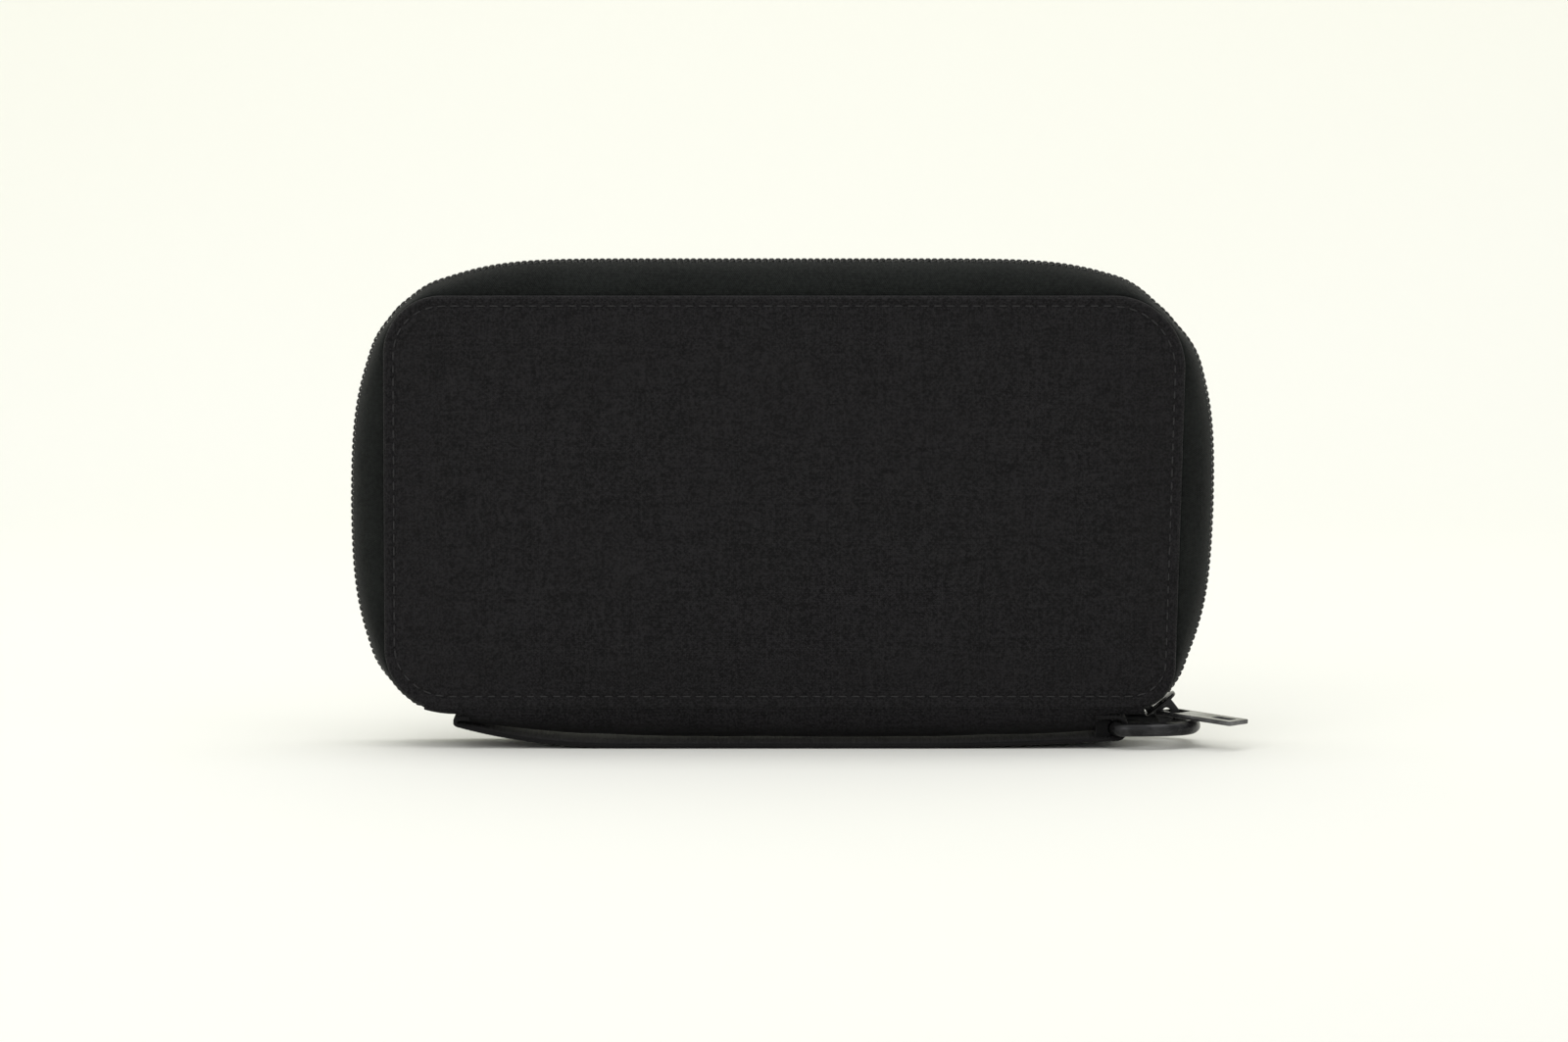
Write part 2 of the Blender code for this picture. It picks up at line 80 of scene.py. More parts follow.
# Topstitching.
STITCH_INSET = 2.8 * MM
STITCH_EXTRA_AT_SPINE = 1.0 * MM
STITCH_PITCH = 3.6 * MM
STITCH_LENGTH = 2.7 * MM
THREAD = 0.22 * MM
GROOVE = 0.38 * MM
GROOVE_WIDTH = 0.75 * MM

# Zip.
BULGE_MIDDLE = 9.5 * MM
BULGE_CORNER = 1.5 * MM
BULGE_START = 3 * MM
BULGE_REACH = 17 * MM
BULGE_POWER = 1.5
SLIDER_MOUTH_Z = 14.5 * MM
TAPE = 0.7 * MM
TAPE_EDGE = 1.1 * MM
TAPE_TUCK = 2.0 * MM
TAPE_RIPPLE = 0.16 * MM
COIL_PITCH = 1.79 * MM
COIL_THREAD = 0.36 * MM
COIL_HALF_HEIGHT = 0.75 * MM
COIL_INNER = -0.55 * MM
COIL_OUTER = 2.5 * MM

# Carry strap.
STRAP_HALF_WIDTH = 12.5 * MM
STRAP = 1.4 * MM
RIB_PITCH = 1.1 * MM
RIB_DEPTH = 0.13 * MM
STRAP_FLAT_LEFT = -40 * MM
STRAP_FLAT_RIGHT = 38 * MM
STRAP_LEFT_X = -89.2 * MM
STRAP_LEFT_Z = 6.3 * MM
FOLD_RADIUS = 0.9 * MM
FOLD_BACK = 3 * MM

# Ring, with the webbing's loop round its bar.
RING_WIRE = 2.0 * MM
RING_ROUND = 1.9 * MM
RING_BEND = 2 * MM
RING_BAR = Vector((91.5, 0, 5.5)) * MM
LOOP_RADIUS = RING_WIRE + 0.3 * MM + STRAP / 2
LOOP_TAIL = 5.4 * MM
TACK_INSET = 1.7 * MM
RING_REACH = 21.9 * MM
RING_HALF = 14.8 * MM

# Slider and pull.
SLIDER_LENGTH = 9.6 * MM
SLIDER_LEAN = radians(38)
SLIDER_CORNER_ANGLE = radians(-54)
SLIDER_HALF_WIDTH = 5.5 * MM
PLATE = 0.7 * MM
PLATE_OUT = 0.3 * MM
PLATE_IN = 3.2 * MM
PLATE_BEVEL = 0.25 * MM
PLATE_TAIL = 0.78
LIP_INSET = 1.5 * MM
LIP_HALF_WIDTH = 0.45 * MM
LIP_HEIGHT = 1.1 * MM
SINK = 0.2 * MM
POST_HALF_WIDTH = 1.5 * MM
FOOT_HALF_WIDTH = 1.7 * MM
FOOT_HEIGHT = 0.3 * MM
BRIDGE_HALF_LENGTH = 2.9 * MM
BRIDGE_HALF_WIDTH = 0.7 * MM
BRIDGE_TOP = 5.8 * MM
PIVOT_HEIGHT = 3.5 * MM
BAR_CLEARANCE = 1.35 * MM
PULL_YAW = radians(40)
PULL_DROP = radians(3)
PULL_REACH = 24.9 * MM
PULL_WIDTH = 8.4 * MM
PULL_THICKNESS = 1.2 * MM
PULL_BAR = 1.1 * MM
PULL_WINDOW = (5.6 * MM, 6.2 * MM)
PULL_SLOT = (6.5 * MM, 3.6 * MM)
PULL_SLOT_MARGIN = 2.0 * MM
PULL_BEVEL = 0.16 * MM
SHARP_ANGLE = radians(40)

# Inside; the flanges' two are in millimetres.
POCKET_EASE = 9 * MM
POCKET_WAVE = 0.2 * MM
POCKET_SAG = 0.5 * MM
POCKET_SEAM = 1.4 * MM
PEN_LOOP = 0.8 * MM
FLANGE = 0.3
FLANGE_SHIFT = 0.12

# Camera.
SCALE = 0.2687 * MM
ELEVATION = radians(5)
DISTANCE = 2.0
SENSOR = 36.0
IMAGE_WIDTH = 1600
CAMERA_TARGET = Vector((0.3, -12, 62.8)) * MM


# ---- geometry helpers


def ease(value):
    """A smooth step from 0 to 1."""
    value = min(max(value, 0.0), 1.0)
    return value * value * (3 - 2 * value)


def place(name, data):
    """Puts a new object with that data into the scene."""
    obj = bpy.data.objects.new(name, data)
    bpy.context.collection.objects.link(obj)
    return obj


def finish_object(bm, name, material, body, smooth=True):
    """Turns the bmesh into an object that rides on the body, and returns it."""
    bmesh.ops.recalc_face_normals(bm, faces=bm.faces)
    mesh = bpy.data.meshes.new(name)
    bm.to_mesh(mesh)
    bm.free()
    obj = place(name, mesh)
    if smooth:
        mesh.shade_smooth()
    mesh.materials.append(material)
    if body:
        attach(obj, body)
    return obj


def object_from(rows, name, material, body, smooth=True, **closed):
    """One object made of rows of points."""
    bm = bmesh.new()
    add_rows(bm, rows, **closed)
    return finish_object(bm, name, material, body, smooth)


def spread(low, high, count):
    """Both ends and the values evenly between them, count steps in all."""
    return [low + (high - low) * k / count for k in range(count + 1)]


def full_turn(count):
    return spread(0, 2 * pi, count)[:-1]


def flat_turn(angle):
    """The unit vector at that angle; tall_turn has it in the (x, z) plane."""
    return Vector((cos(angle), sin(angle)))


def tall_turn(angle):
    return Vector((cos(angle), 0, sin(angle)))


def signed_power(value, exponent):
    return copysign(abs(value) ** exponent, value)


def lengths_along(points):
    """The length run so far at each point of a line."""
    lengths = [0.0]
    for a, b in zip(points, points[1:]):
        lengths.append(lengths[-1] + (b - a).length)
    return lengths


def add_rows(bm, rows, close_across=True, close_along=False):
    """Quads between equal rows of points, with a UV map in metres along and across."""
    uv = bm.loops.layers.uv.verify()
    verts = [[bm.verts.new(point) for point in row] for row in rows]
    count = len(rows[0])
    starts = [row[0] for row in rows]
    along = lengths_along(starts + starts[:1])
    middle = rows[len(rows) // 2]
    across = lengths_along(middle + middle[:1])
    for i in range(len(rows) if close_along else len(rows) - 1):
        here = verts[i]
        there = verts[(i + 1) % len(rows)]
        for k in range(count if close_across else count - 1):
            j = (k + 1) % count
            face = bm.faces.new((here[k], here[j], there[j], there[k]))
            corners = ((i, k), (i, k + 1), (i + 1, k + 1), (i + 1, k))
            for loop, (row, column) in zip(face.loops, corners):
                loop[uv].uv = (along[row], across[column])
    if close_across and not close_along:
        bm.faces.new(verts[0])
        bm.faces.new(verts[-1])


def tube_rows(points, radius, sides, closed=False):
    """Rings of a round tube along the points, without twist."""
    rows = []
    count = len(points)
    normal = None
    for i, point in enumerate(points):
        if closed:
            along = (points[(i + 1) % count] - points[i - 1]).normalized()
        else:
            along = (points[min(i + 1, count - 1)] - points[max(i - 1, 0)]).normalized()
        if normal is None:
            guide = Vector((0, 0, 1)) if abs(along.z) < 0.9 else Vector((1, 0, 0))
            normal = along.cross(guide).normalized()
        normal = (normal - along * normal.dot(along)).normalized()
        other = along.cross(normal)
        width = radius(i / max(count - 1, 1)) if callable(radius) else radius
        ring = []
        for angle in full_turn(sides):
            ring.append(point + (normal * cos(angle) + other * sin(angle)) * width)
        rows.append(ring)
    return rows


def resample(points, pitch):
    """Points an even pitch apart along a line."""
    lengths = lengths_along(points)
    count = max(1, round(lengths[-1] / pitch))
    result = []
    k = 0
    for goal in spread(0, lengths[-1], count):
        while k < len(lengths) - 2 and lengths[k + 1] < goal:
            k += 1
        share = (goal - lengths[k]) / max(lengths[k + 1] - lengths[k], 1e-9)
        result.append(points[k].lerp(points[k + 1], min(share, 1.0)))
    return result


def stitches(bm, line, outs, radius=THREAD, pitch=STITCH_PITCH, length=STITCH_LENGTH):
    """A row of lock stitches: each one a short thread that dips into the cloth at both ends."""
    marks = resample(line, pitch)
    step = (len(line) - 1) / max(len(marks) - 1, 1)
    for i, (a, b) in enumerate(zip(marks, marks[1:])):
        along = (b - a).normalized()
        middle = (a + b) / 2
        up = outs[min(round((i + 0.5) * step), len(outs) - 1)]
        points = []
        for k in range(5):
            share = k / 4 - 0.5
            rise = 0.5 * radius - 1.7 * radius * (2 * share) ** 4
            points.append(middle + along * (length * share) + up * rise)
        add_rows(bm, tube_rows(points, lambda t: radius * (1 - 0.35 * (2 * t - 1) ** 4), 6))


# ---- the covers' outline


def corner_arcs():
    """Each corner's centre, radius, first direction and turn, clockwise from bottom left."""
    corners = (
        Vector((LEFT, BOTTOM)),
        Vector((LEFT, TOP)),
        Vector((RIGHT_TOP, TOP)),
        Vector((RIGHT_BOTTOM, BOTTOM)),
    )
    arcs = []
    for i, (corner, radius) in enumerate(zip(corners, RADII)):
        before = (corner - corners[i - 1]).normalized()
        after = (corners[(i + 1) % 4] - corner).normalized()
        normal = Vector((-before.y, before.x))
        reach = radius / tan((pi - before.angle(after)) / 2)
        centre = corner - before * reach - normal * radius
        arcs.append((centre, radius, atan2(normal.y, normal.x), -before.angle(after)))
    return arcs


ARCS = corner_arcs()


def outline(spacing, closed=True):
    """(point, outward normal) round the seam, about one spacing apart, from the bottom left."""
    stations = []
    for i, (centre, radius, start, turn) in enumerate(ARCS):
        steps = max(4, round(abs(turn) * radius / spacing))
        for angle in spread(start, start + turn, steps):
            normal = flat_turn(angle)
            stations.append((centre + normal * radius, normal))
        if i == 3 and not closed:
            break
        next_centre, next_radius, next_start, _ = ARCS[(i + 1) % 4]
        normal = flat_turn(next_start)
        here = stations[-1][0]
        there = next_centre + normal * next_radius
        count = max(2, round((there - here).length / spacing))
        for k in range(1, count):
            stations.append((here.lerp(there, k / count), normal))
    return stations


def bulge_at(point, normal):
    """How far the zip stands out from the seam there: least at the corners."""
    distance = 1.0
    for centre, radius, start, turn in ARCS:
        middle = centre + flat_turn(start + turn / 2) * radius
        distance = min(distance, (point - middle).length)
    share = 1 - exp(-(max(distance - BULGE_START, 0) / BULGE_REACH) ** BULGE_POWER)
    if normal.y < -0.9:
        share = 0
    return BULGE_CORNER + (BULGE_MIDDLE - BULGE_CORNER) * share


def lift(flat, depth, side):
    """A point of the (x, z) plane at that depth from the middle, on that side."""
    return Vector((flat.x, side * depth, flat.y))


# ---- materials


class Shader:
    """A short way to write a Principled material's nodes."""

    def __init__(self, name, roughness, metallic=0.0, sheen=0.0, specular=0.5):
        self.material = bpy.data.materials.new(name)
        self.material.use_nodes = True
        self.tree = self.material.node_tree
        self.bsdf = self.tree.nodes["Principled BSDF"]
        looks = {"Roughness": roughness, "Metallic": metallic, "Specular IOR Level": specular}
        looks |= {"Sheen Weight": sheen, "Sheen Roughness": 0.4}
        for key, value in looks.items():
            self.put(self.bsdf, key, value)
        coords = self.tree.nodes.new("ShaderNodeTexCoord")
        self.object_coords = coords.outputs["Object"]
        self.uv_coords = coords.outputs["UV"]

    def put(self, node, key, value):
        """Links or sets one input of a node."""
        if isinstance(value, bpy.types.NodeSocket):
            self.tree.links.new(value, node.inputs[key])
        else:
            node.inputs[key].default_value = value

    def node(self, kind, output, inputs, **settings):
        """Adds a node and returns one of its outputs."""
        node = self.tree.nodes.new("ShaderNode" + kind)
        for key, value in settings.items():
            setattr(node, key, value)
        for key, value in inputs.items():
            self.put(node, key, value)
        return node.outputs[output]

    def math(self, operation, a, b=0.0, clamp=False):
        return self.node("Math", 0, {0: a, 1: b}, operation=operation, use_clamp=clamp)

    def add(self, total, *others, clamp=False):
        """The sum; clamp keeps it between 0 and 1."""
        for other in others[:-1]:
            total = self.math("ADD", total, other)
        return self.math("ADD", total, others[-1], clamp)

    def ridges(self, value):
        """Round ridges, one for each whole number."""
        turn = self.math("MULTIPLY", value, pi)
        return self.math("ABSOLUTE", self.math("SINE", turn))

    def parts(self, vector):
        return self.node("SeparateXYZ", 0, {0: vector}).node.outputs

    def noise(self, size, detail=3.0, stretch=(1, 1, 1)):
        """Noise with features about one size across, in metres."""
        scale = [s / size for s in stretch]
        coords = self.node("Mapping", 0, {"Vector": self.object_coords, "Scale": scale})
        return self.node("TexNoise", "Fac", {"Scale": 1.0, "Detail": detail, "Vector": coords})

    def ramp(self, value, low, high, out_low=0.0, out_high=1.0):
        ends = {"From Min": low, "From Max": high, "To Min": out_low, "To Max": out_high}
        return self.node("MapRange", "Result", {"Value": value, **ends})

    def colour(self, share, dark, light):
        """Sets the base colour: dark where the share is 0 and light where it is 1."""
        ends = {"Factor": share, "A": (*dark, 1), "B": (*light, 1)}
        self.put(self.bsdf, "Base Color", self.node("Mix", "Result", ends, data_type="RGBA"))

    def roughness(self, value):
        self.put(self.bsdf, "Roughness", value)

    def bump(self, height, distance):
        ends = {"Distance": distance, "Height": height}
        self.put(self.bsdf, "Normal", self.node("Bump", 0, ends))

    def plain_weave(self, u, v, pitch):
        """Height of a plain weave: warp and weft threads pass over each other in turn."""
        a = self.math("DIVIDE", u, pitch)
        b = self.math("DIVIDE", v, pitch)
        cell = self.add(self.math("FLOOR", a), self.math("FLOOR", b))
        over = self.math("PINGPONG", cell, 1.0)
        up = self.math("MULTIPLY", self.ridges(a), over)
        down = self.math("MULTIPLY", self.ridges(b), self.math("SUBTRACT", 1.0, over))
        return self.add(up, down)

    def twill(self, u, v, pitch):
        """Height of slanting threads, as on a zip's tape."""
        slant = self.add(self.math("DIVIDE", u, pitch), self.math("DIVIDE", v, 2 * pitch))
        thread = self.math("MULTIPLY", self.ridges(slant), 0.7)
        cut = self.ridges(self.math("DIVIDE", v, pitch))
        return self.add(thread, self.math("MULTIPLY", cut, 0.3))


def cloth_material(name, tones, pitch, use_uv=False, roughness=0.8, specular=0.15):
    """A plain-weave nylon with uneven threads, faint slubs, stray bright fibres and wear."""
    look = Shader(name, roughness, sheen=0.05, specular=specular)
    if use_uv:
        u, v, _ = look.parts(look.uv_coords)
    else:
        u, _, v = look.parts(look.object_coords)
    weave = look.plain_weave(u, v, pitch)
    along = look.noise(0.9 * MM, 2.0, (0.12, 0.3, 1.0))
    upright = look.noise(0.9 * MM, 2.0, (1.0, 0.3, 0.12))
    threads = look.math("MULTIPLY", look.add(along, upright), 0.5)
    grain = look.noise(0.6 * MM, 1.0)
    broad = look.noise(38 * MM)
    fibre = look.ramp(look.noise(0.7 * MM, 1.0), 0.68, 0.78)
    tone = look.add(
        look.math("MULTIPLY", weave, 0.5),
        look.ramp(threads, 0.4, 0.6, -0.1, 0.2),
        look.ramp(grain, 0.36, 0.64, -0.25, 0.5),
        look.ramp(broad, 0.35, 0.65, -0.1, 0.1),
        clamp=True,
    )
    look.colour(look.add(tone, fibre), *tones)
    look.roughness(look.ramp(broad, 0.3, 0.7, roughness - 0.08, roughness + 0.08))
    look.bump(look.add(weave, look.add(threads, grain)), 0.1 * MM)
    return look.material


def coarse_material(look, weave, share, grain, grain_tone, broad, broad_top, tones, depth):
    """A coarse weave with grain and broad patches, each with its size and its tone."""
    grain = look.noise(grain)
    tone = look.add(
        look.math("MULTIPLY", weave, share),
        look.ramp(grain, *grain_tone),
        look.ramp(look.noise(broad, 2.0), 0.35, 0.65, -0.1, broad_top),
        clamp=True,
    )
    look.colour(tone, *tones)
    look.bump(look.add(weave, grain), depth)
    return look.material


def tape_material():
    """The zip's tape: slanting threads with a faint green cast."""
    look = Shader("zip_tape_weave", 0.88, sheen=0.06, specular=0.13)
    weave = look.twill(*look.parts(look.uv_coords)[:2], 0.55 * MM)
    grain_tone = (0.35, 0.65, -0.1, 0.4)
    tones = ((0.0015, 0.0019, 0.0018), (0.0135, 0.0155, 0.0145))
    return coarse_material(look, weave, 0.6, 0.9 * MM, grain_tone, 25 * MM, 0.1, tones, 0.12 * MM)


def coil_material():
    """The coil's glossy monofilament."""
    look = Shader("coil_nylon", 0.34)
    grain = look.noise(2.2 * MM, 2.0)
    look.colour(grain, (0.006, 0.006, 0.0065), (0.014, 0.014, 0.014))
    look.roughness(look.ramp(grain, 0.3, 0.7, 0.28, 0.45))
    look.bump(grain, 0.05 * MM)
    return look.material


def webbing_material():
    """The strap's coarse weave with fuzz and wear."""
    look = Shader("webbing_nylon", 0.8, sheen=0.06, specular=0.15)
    weave = look.plain_weave(*look.parts(look.uv_coords)[:2], 0.55 * MM)
    fuzz_tone = (0.3, 0.7, 0.0, 0.3)
    tones = ((0.001, 0.001, 0.0012), (0.0108, 0.0102, 0.011))
    return coarse_material(look, weave, 0.5, 0.5 * MM, fuzz_tone, 14 * MM, 0.15, tones, 0.09 * MM)


def thread_material():
    """Sewing thread with its twist."""
    look = Shader("sewing_thread", 0.55, sheen=0.05, specular=0.4)
    u, v, _ = look.parts(look.uv_coords)
    along = look.math("DIVIDE", u, 0.35 * MM)
    twist = look.ridges(look.add(along, look.math("DIVIDE", v, 0.7 * MM)))
    look.colour(twist, (0.003, 0.003, 0.0035), (0.022, 0.021, 0.023))
    look.bump(twist, 0.05 * MM)
    return look.material


def metal_material(name, dark, light, roughness):
    """Black plated metal, rubbed lighter where the plating is thin."""
    look = Shader(name, roughness, metallic=0.85)
    worn = look.ramp(look.noise(5 * MM, 4.0), 0.4, 0.7, 0.0, 0.7)
    scratch = look.noise(0.8 * MM, 2.0, (0.15, 1.0, 1.0))
    tone = look.add(worn, look.ramp(scratch, 0.55, 0.75, 0.0, 0.3), clamp=True)
    look.colour(tone, dark, light)
    look.roughness(look.ramp(scratch, 0.3, 0.7, roughness - 0.07, roughness + 0.1))
    look.bump(scratch, 0.02 * MM)
    return look.material


def board_material():
    """Grey-brown fibreboard."""
    look = Shader("board_fibre", 0.9)
    fibre = look.noise(1.5 * MM, 4.0)
    look.colour(fibre, (0.12, 0.11, 0.095), (0.22, 0.2, 0.17))
    look.bump(fibre, 0.1 * MM)
    return look.material


SHELL_TONES = ((0.0013, 0.0012, 0.0015), (0.0166, 0.0156, 0.0172))
LINING_TONES = ((0.012, 0.012, 0.013), (0.04, 0.04, 0.043))
ELASTIC_TONES = ((0.004, 0.004, 0.0045), (0.02, 0.02, 0.021))
SHELL = cloth_material("shell_nylon", SHELL_TONES, 0.5 * MM)
SHELL_FOLD = cloth_material("shell_nylon_fold", SHELL_TONES, 0.5 * MM, use_uv=True, specular=0.1)
LINING = cloth_material("lining_nylon", LINING_TONES, 0.35 * MM, roughness=0.62, specular=0.3)
ELASTIC = cloth_material("elastic_band", ELASTIC_TONES, 0.6 * MM, use_uv=True)
TAPE_CLOTH = tape_material()
COIL = coil_material()
WEBBING = webbing_material()
STITCH = thread_material()
METAL = metal_material("black_metal", (0.02, 0.02, 0.021), (0.075, 0.075, 0.077), 0.3)
PULL_METAL = metal_material("pull_metal", (0.07, 0.07, 0.072), (0.2, 0.2, 0.205), 0.2)
BOARD = board_material()


# ---- covers


def stitch_inset(normal):
    """The row runs further in along the spine than round the other sides."""
    return STITCH_INSET + STITCH_EXTRA_AT_SPINE * ease(-normal.y)


def stitch_line_contains(flat):
    """Whether a point of the face lies inside the row of stitches."""
    slant = (flat.y - BOTTOM) / (TOP - BOTTOM)
    right = RIGHT_BOTTOM + (RIGHT_TOP - RIGHT_BOTTOM) * slant
    margin = STITCH_INSET + 1.2 * MM
    if not LEFT + margin < flat.x < right - margin:
        return False
    if not BOTTOM + margin + STITCH_EXTRA_AT_SPINE < flat.y < TOP - margin:
        return False
    for (centre, radius, _, _), (sx, sz) in zip(ARCS, ((-1, -1), (-1, 1), (1, 1), (1, -1))):
        offset = flat - centre
        if offset.x * sx > 0 and offset.y * sz > 0 and offset.length > radius - margin:
            return False
    return True


class Crown:
    """How far a cover's cloth stands off its board: a sheet held at the stitches and puffed out."""

    def __init__(self, seed):
        self.columns = round((RIGHT_TOP - LEFT) / GRID) + 1
        self.rows = round((TOP - BOTTOM) / GRID) + 1
        self.rise = {}
        spots = {}
        for i in range(self.columns):
            for j in range(self.rows):
                flat = Vector((LEFT + i * GRID, BOTTOM + j * GRID))
                if stitch_line_contains(flat):
                    spots[i, j] = flat
        self.simulate(spots, seed)

    def make_sheet(self, spots, order, seed):
        """A flat mesh over the spots, with its outer ones in the group that is held."""
        bm = bmesh.new()
        verts = {}
        for key in order:
            flat = spots[key]
            start = 0.15 * MM * noise.noise(Vector((flat.x * 120, flat.y * 120, seed)))
            verts[key] = bm.verts.new((flat.x, flat.y, start))
        for i, j in order:
            corners = ((i, j), (i + 1, j), (i + 1, j + 1), (i, j + 1))
            if all(corner in verts for corner in corners):
                bm.faces.new([verts[corner] for corner in corners])
        mesh = bpy.data.meshes.new("crown_sheet")
        bm.to_mesh(mesh)
        bm.free()
        sheet = place("crown_sheet", mesh)
        held = sheet.vertex_groups.new(name="held")
        for number, (i, j) in enumerate(order):
            around = ((i - 1, j), (i + 1, j), (i, j - 1), (i, j + 1))
            if not all(spot in verts for spot in around):
                held.add([number], 1.0, "REPLACE")
        return sheet

    def simulate(self, spots, seed):
        """Puffs the sheet out under a light pressure and keeps each spot's height."""
        order = sorted(spots)
        sheet = self.make_sheet(spots, order, seed)
        settings = sheet.modifiers.new("Cloth", "CLOTH").settings
        settings.quality = 5
        settings.mass = 0.15
        settings.tension_stiffness = 12
        settings.compression_stiffness = 8
        settings.bending_stiffness = 0.4
        settings.shrink_min = -0.006
        settings.use_pressure = True
        settings.uniform_pressure_force = 4
        settings.effector_weights.gravity = 0
        settings.vertex_group_mass = "held"
        scene = bpy.context.scene
        for step in range(1, CLOTH_FRAMES + 1):
            scene.frame_set(step)
        settled = sheet.evaluated_get(bpy.context.evaluated_depsgraph_get()).to_mesh()
        heights = [vert.co.z for vert in settled.vertices]
        scene.frame_set(1)
        bpy.data.objects.remove(sheet, do_unlink=True)
        for key, height in zip(order, heights):
            self.rise[key] = CROWN_LIMIT * tanh(abs(height) / CROWN_LIMIT)

    def at(self, flat):
        """The rise at a point, blended between the sheet's own grid points."""
        x = (flat.x - LEFT) / GRID
        z = (flat.y - BOTTOM) / GRID
        i = floor(x)
        j = floor(z)
        u = ease(x - i)
        v = ease(z - j)
        low = self.rise.get((i, j), 0) * (1 - u) + self.rise.get((i + 1, j), 0) * u
        high = self.rise.get((i, j + 1), 0) * (1 - u) + self.rise.get((i + 1, j + 1), 0) * u
        return low * (1 - v) + high * v


def face_depth(crown, inset, flat, normal, travel):
    """Depth of the cover's outer face: rolled rim, groove at the stitches, then the crown."""
    row = stitch_inset(normal)
    roll = min(inset / RIM_ROLL, 1.0)
    depth = PANEL_INNER + (PANEL_RIM - PANEL_INNER) * sqrt(1 - (1 - roll) ** 2)
    beat = 0.75 + 0.25 * cos(2 * pi * travel / STITCH_PITCH)
    depth -= GROOVE * beat * exp(-(((inset - row) / GROOVE_WIDTH) ** 2))
    past = max(inset - row, 0)
    depth += 0.3 * MM * (1 - exp(-past / (2.4 * MM)))
    depth += ease(past / (9 * MM)) * crown.at(flat)
    spot = Vector((flat.x, flat.y, 0.02)) * 1000
    depth += 0.1 * MM * ease(past / (6 * MM)) * noise.noise(spot / 11 + Vector((7, 3, 1)))
    gather = exp(-(((inset - row - 2.2 * MM) / (2.2 * MM)) ** 2))
    depth += 0.07 * MM * gather * noise.noise(Vector((travel * 330, 4.0, 1.0)))
    return depth


def cover_rows(side, crown):
    """Rings from the inner edge, over the rolled rim, and in across the face."""
    stations = outline(1.2 * MM)
    travel = lengths_along([point for point, _ in stations])
    rows = [[lift(p - n * 0.5 * MM, PANEL_INNER, side) for p, n in stations]]
    for inset in RIM_INSETS:
        row = []
        for (point, normal), s in zip(stations, travel):
            flat = point - normal * inset * MM
            row.append(lift(flat, face_depth(crown, inset * MM, flat, normal, s), side))
        rows.append(row)
    last = RIM_INSETS[-1] * MM
    middle = Vector(((RIGHT_BOTTOM + LEFT) / 2, (TOP + BOTTOM) / 2))
    reach = (RIGHT_BOTTOM - LEFT) / 2 - FACE_CORE
    for k in range(1, FACE_RINGS + 1):
        row = []
        for (point, normal), s in zip(stations, travel):
            start = point - normal * last
            core = Vector((min(max(start.x, middle.x - reach), middle.x + reach), middle.y))
            flat = start.lerp(core, 0.995 * k / FACE_RINGS)
            inset = last + (flat - start).length
            row.append(lift(flat, face_depth(crown, inset, flat, normal, s), side))
        rows.append(row)
    return rows


def make_cover(prefix, side):
    """A cover's padded face with its rolled edge, and the row of stitches sewn through it."""
    crown = Crown(seed=2.0 + side)
    rows = cover_rows(side, crown)
    cloth = object_from(rows, f"{prefix}_cover_cloth", SHELL, f"{prefix}_cover")
    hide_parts(f"{prefix}_panel")
    stations = outline(0.6 * MM)
    stations.append(stations[0])
    line = []
    for (point, normal), travel in zip(stations, lengths_along([point for point, _ in stations])):
        inset = stitch_inset(normal)
        flat = point - normal * inset
        line.append(lift(flat, face_depth(crown, inset, flat, normal, travel), side))
    bm = bmesh.new()
    stitches(bm, line, [Vector((0, side, 0))])
    seam = finish_object(bm, f"{prefix}_cover_stitching", STITCH, f"{prefix}_cover")


# ---- zip


def zip_frames(spacing):
    """(seam point, normal, bulge) round the zip, from the spine's left end to its right end."""
    return [(p, n, bulge_at(p, n)) for p, n in outline(spacing, closed=False)]


def in_chain(point):
    """Whether the chain runs there: it ends at the slider's mouth."""
    return point.x < 0 or point.y > SLIDER_MOUTH_Z


def tape_row(point, normal, bulge, side, travel):
    """The tape's cut: from under the rim, out and round towards the chain."""
    root = PANEL_INNER - 0.3 * MM
    ripple = TAPE_RIPPLE * noise.noise(Vector((travel * 90, side * 3.0, 0.5)))
    outer = [lift(point - normal * TAPE_TUCK, root, side)]
    inner = [lift(point - normal * TAPE_TUCK, root - TAPE, side)]
    for angle in spread(0, acos(TAPE_EDGE / root), 12):
        rise = (bulge - 0.5 * MM) * sin(angle) + ripple * sin(2 * angle)
        outer.append(lift(point + normal * rise, root * cos(angle), side))
        depth = max((root - TAPE) * cos(angle), TAPE_EDGE)
        inner.append(lift(point + normal * (rise - TAPE * sin(angle)), depth, side))
    return outer + inner[::-1]


def make_tape(prefix, side):
    """The woven tape, which is also the case's side wall."""
    frames = zip_frames(2.2 * MM)
    travels = lengths_along([point for point, _, _ in frames])
    rows = [tape_row(*spot, side, travel) for spot, travel in zip(frames, travels)]
    tape = object_from(rows, f"{prefix}_tape_cloth", TAPE_CLOTH, f"{prefix}_cover")
    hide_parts(f"{prefix}_zip_tape")


def chain_line(spacing):
    """The chain's centre line and its outward normals, as 3-D points at the middle plane."""
    points = []
    normals = []
    for point, normal, bulge in zip_frames(spacing)[2:]:
        if not in_chain(point):
            break
        flat = point + normal * (bulge - COIL_HALF_HEIGHT - COIL_THREAD)
        points.append(Vector((flat.x, 0, flat.y)))
        normals.append(Vector((normal.x, 0, normal.y)))
    return points, normals


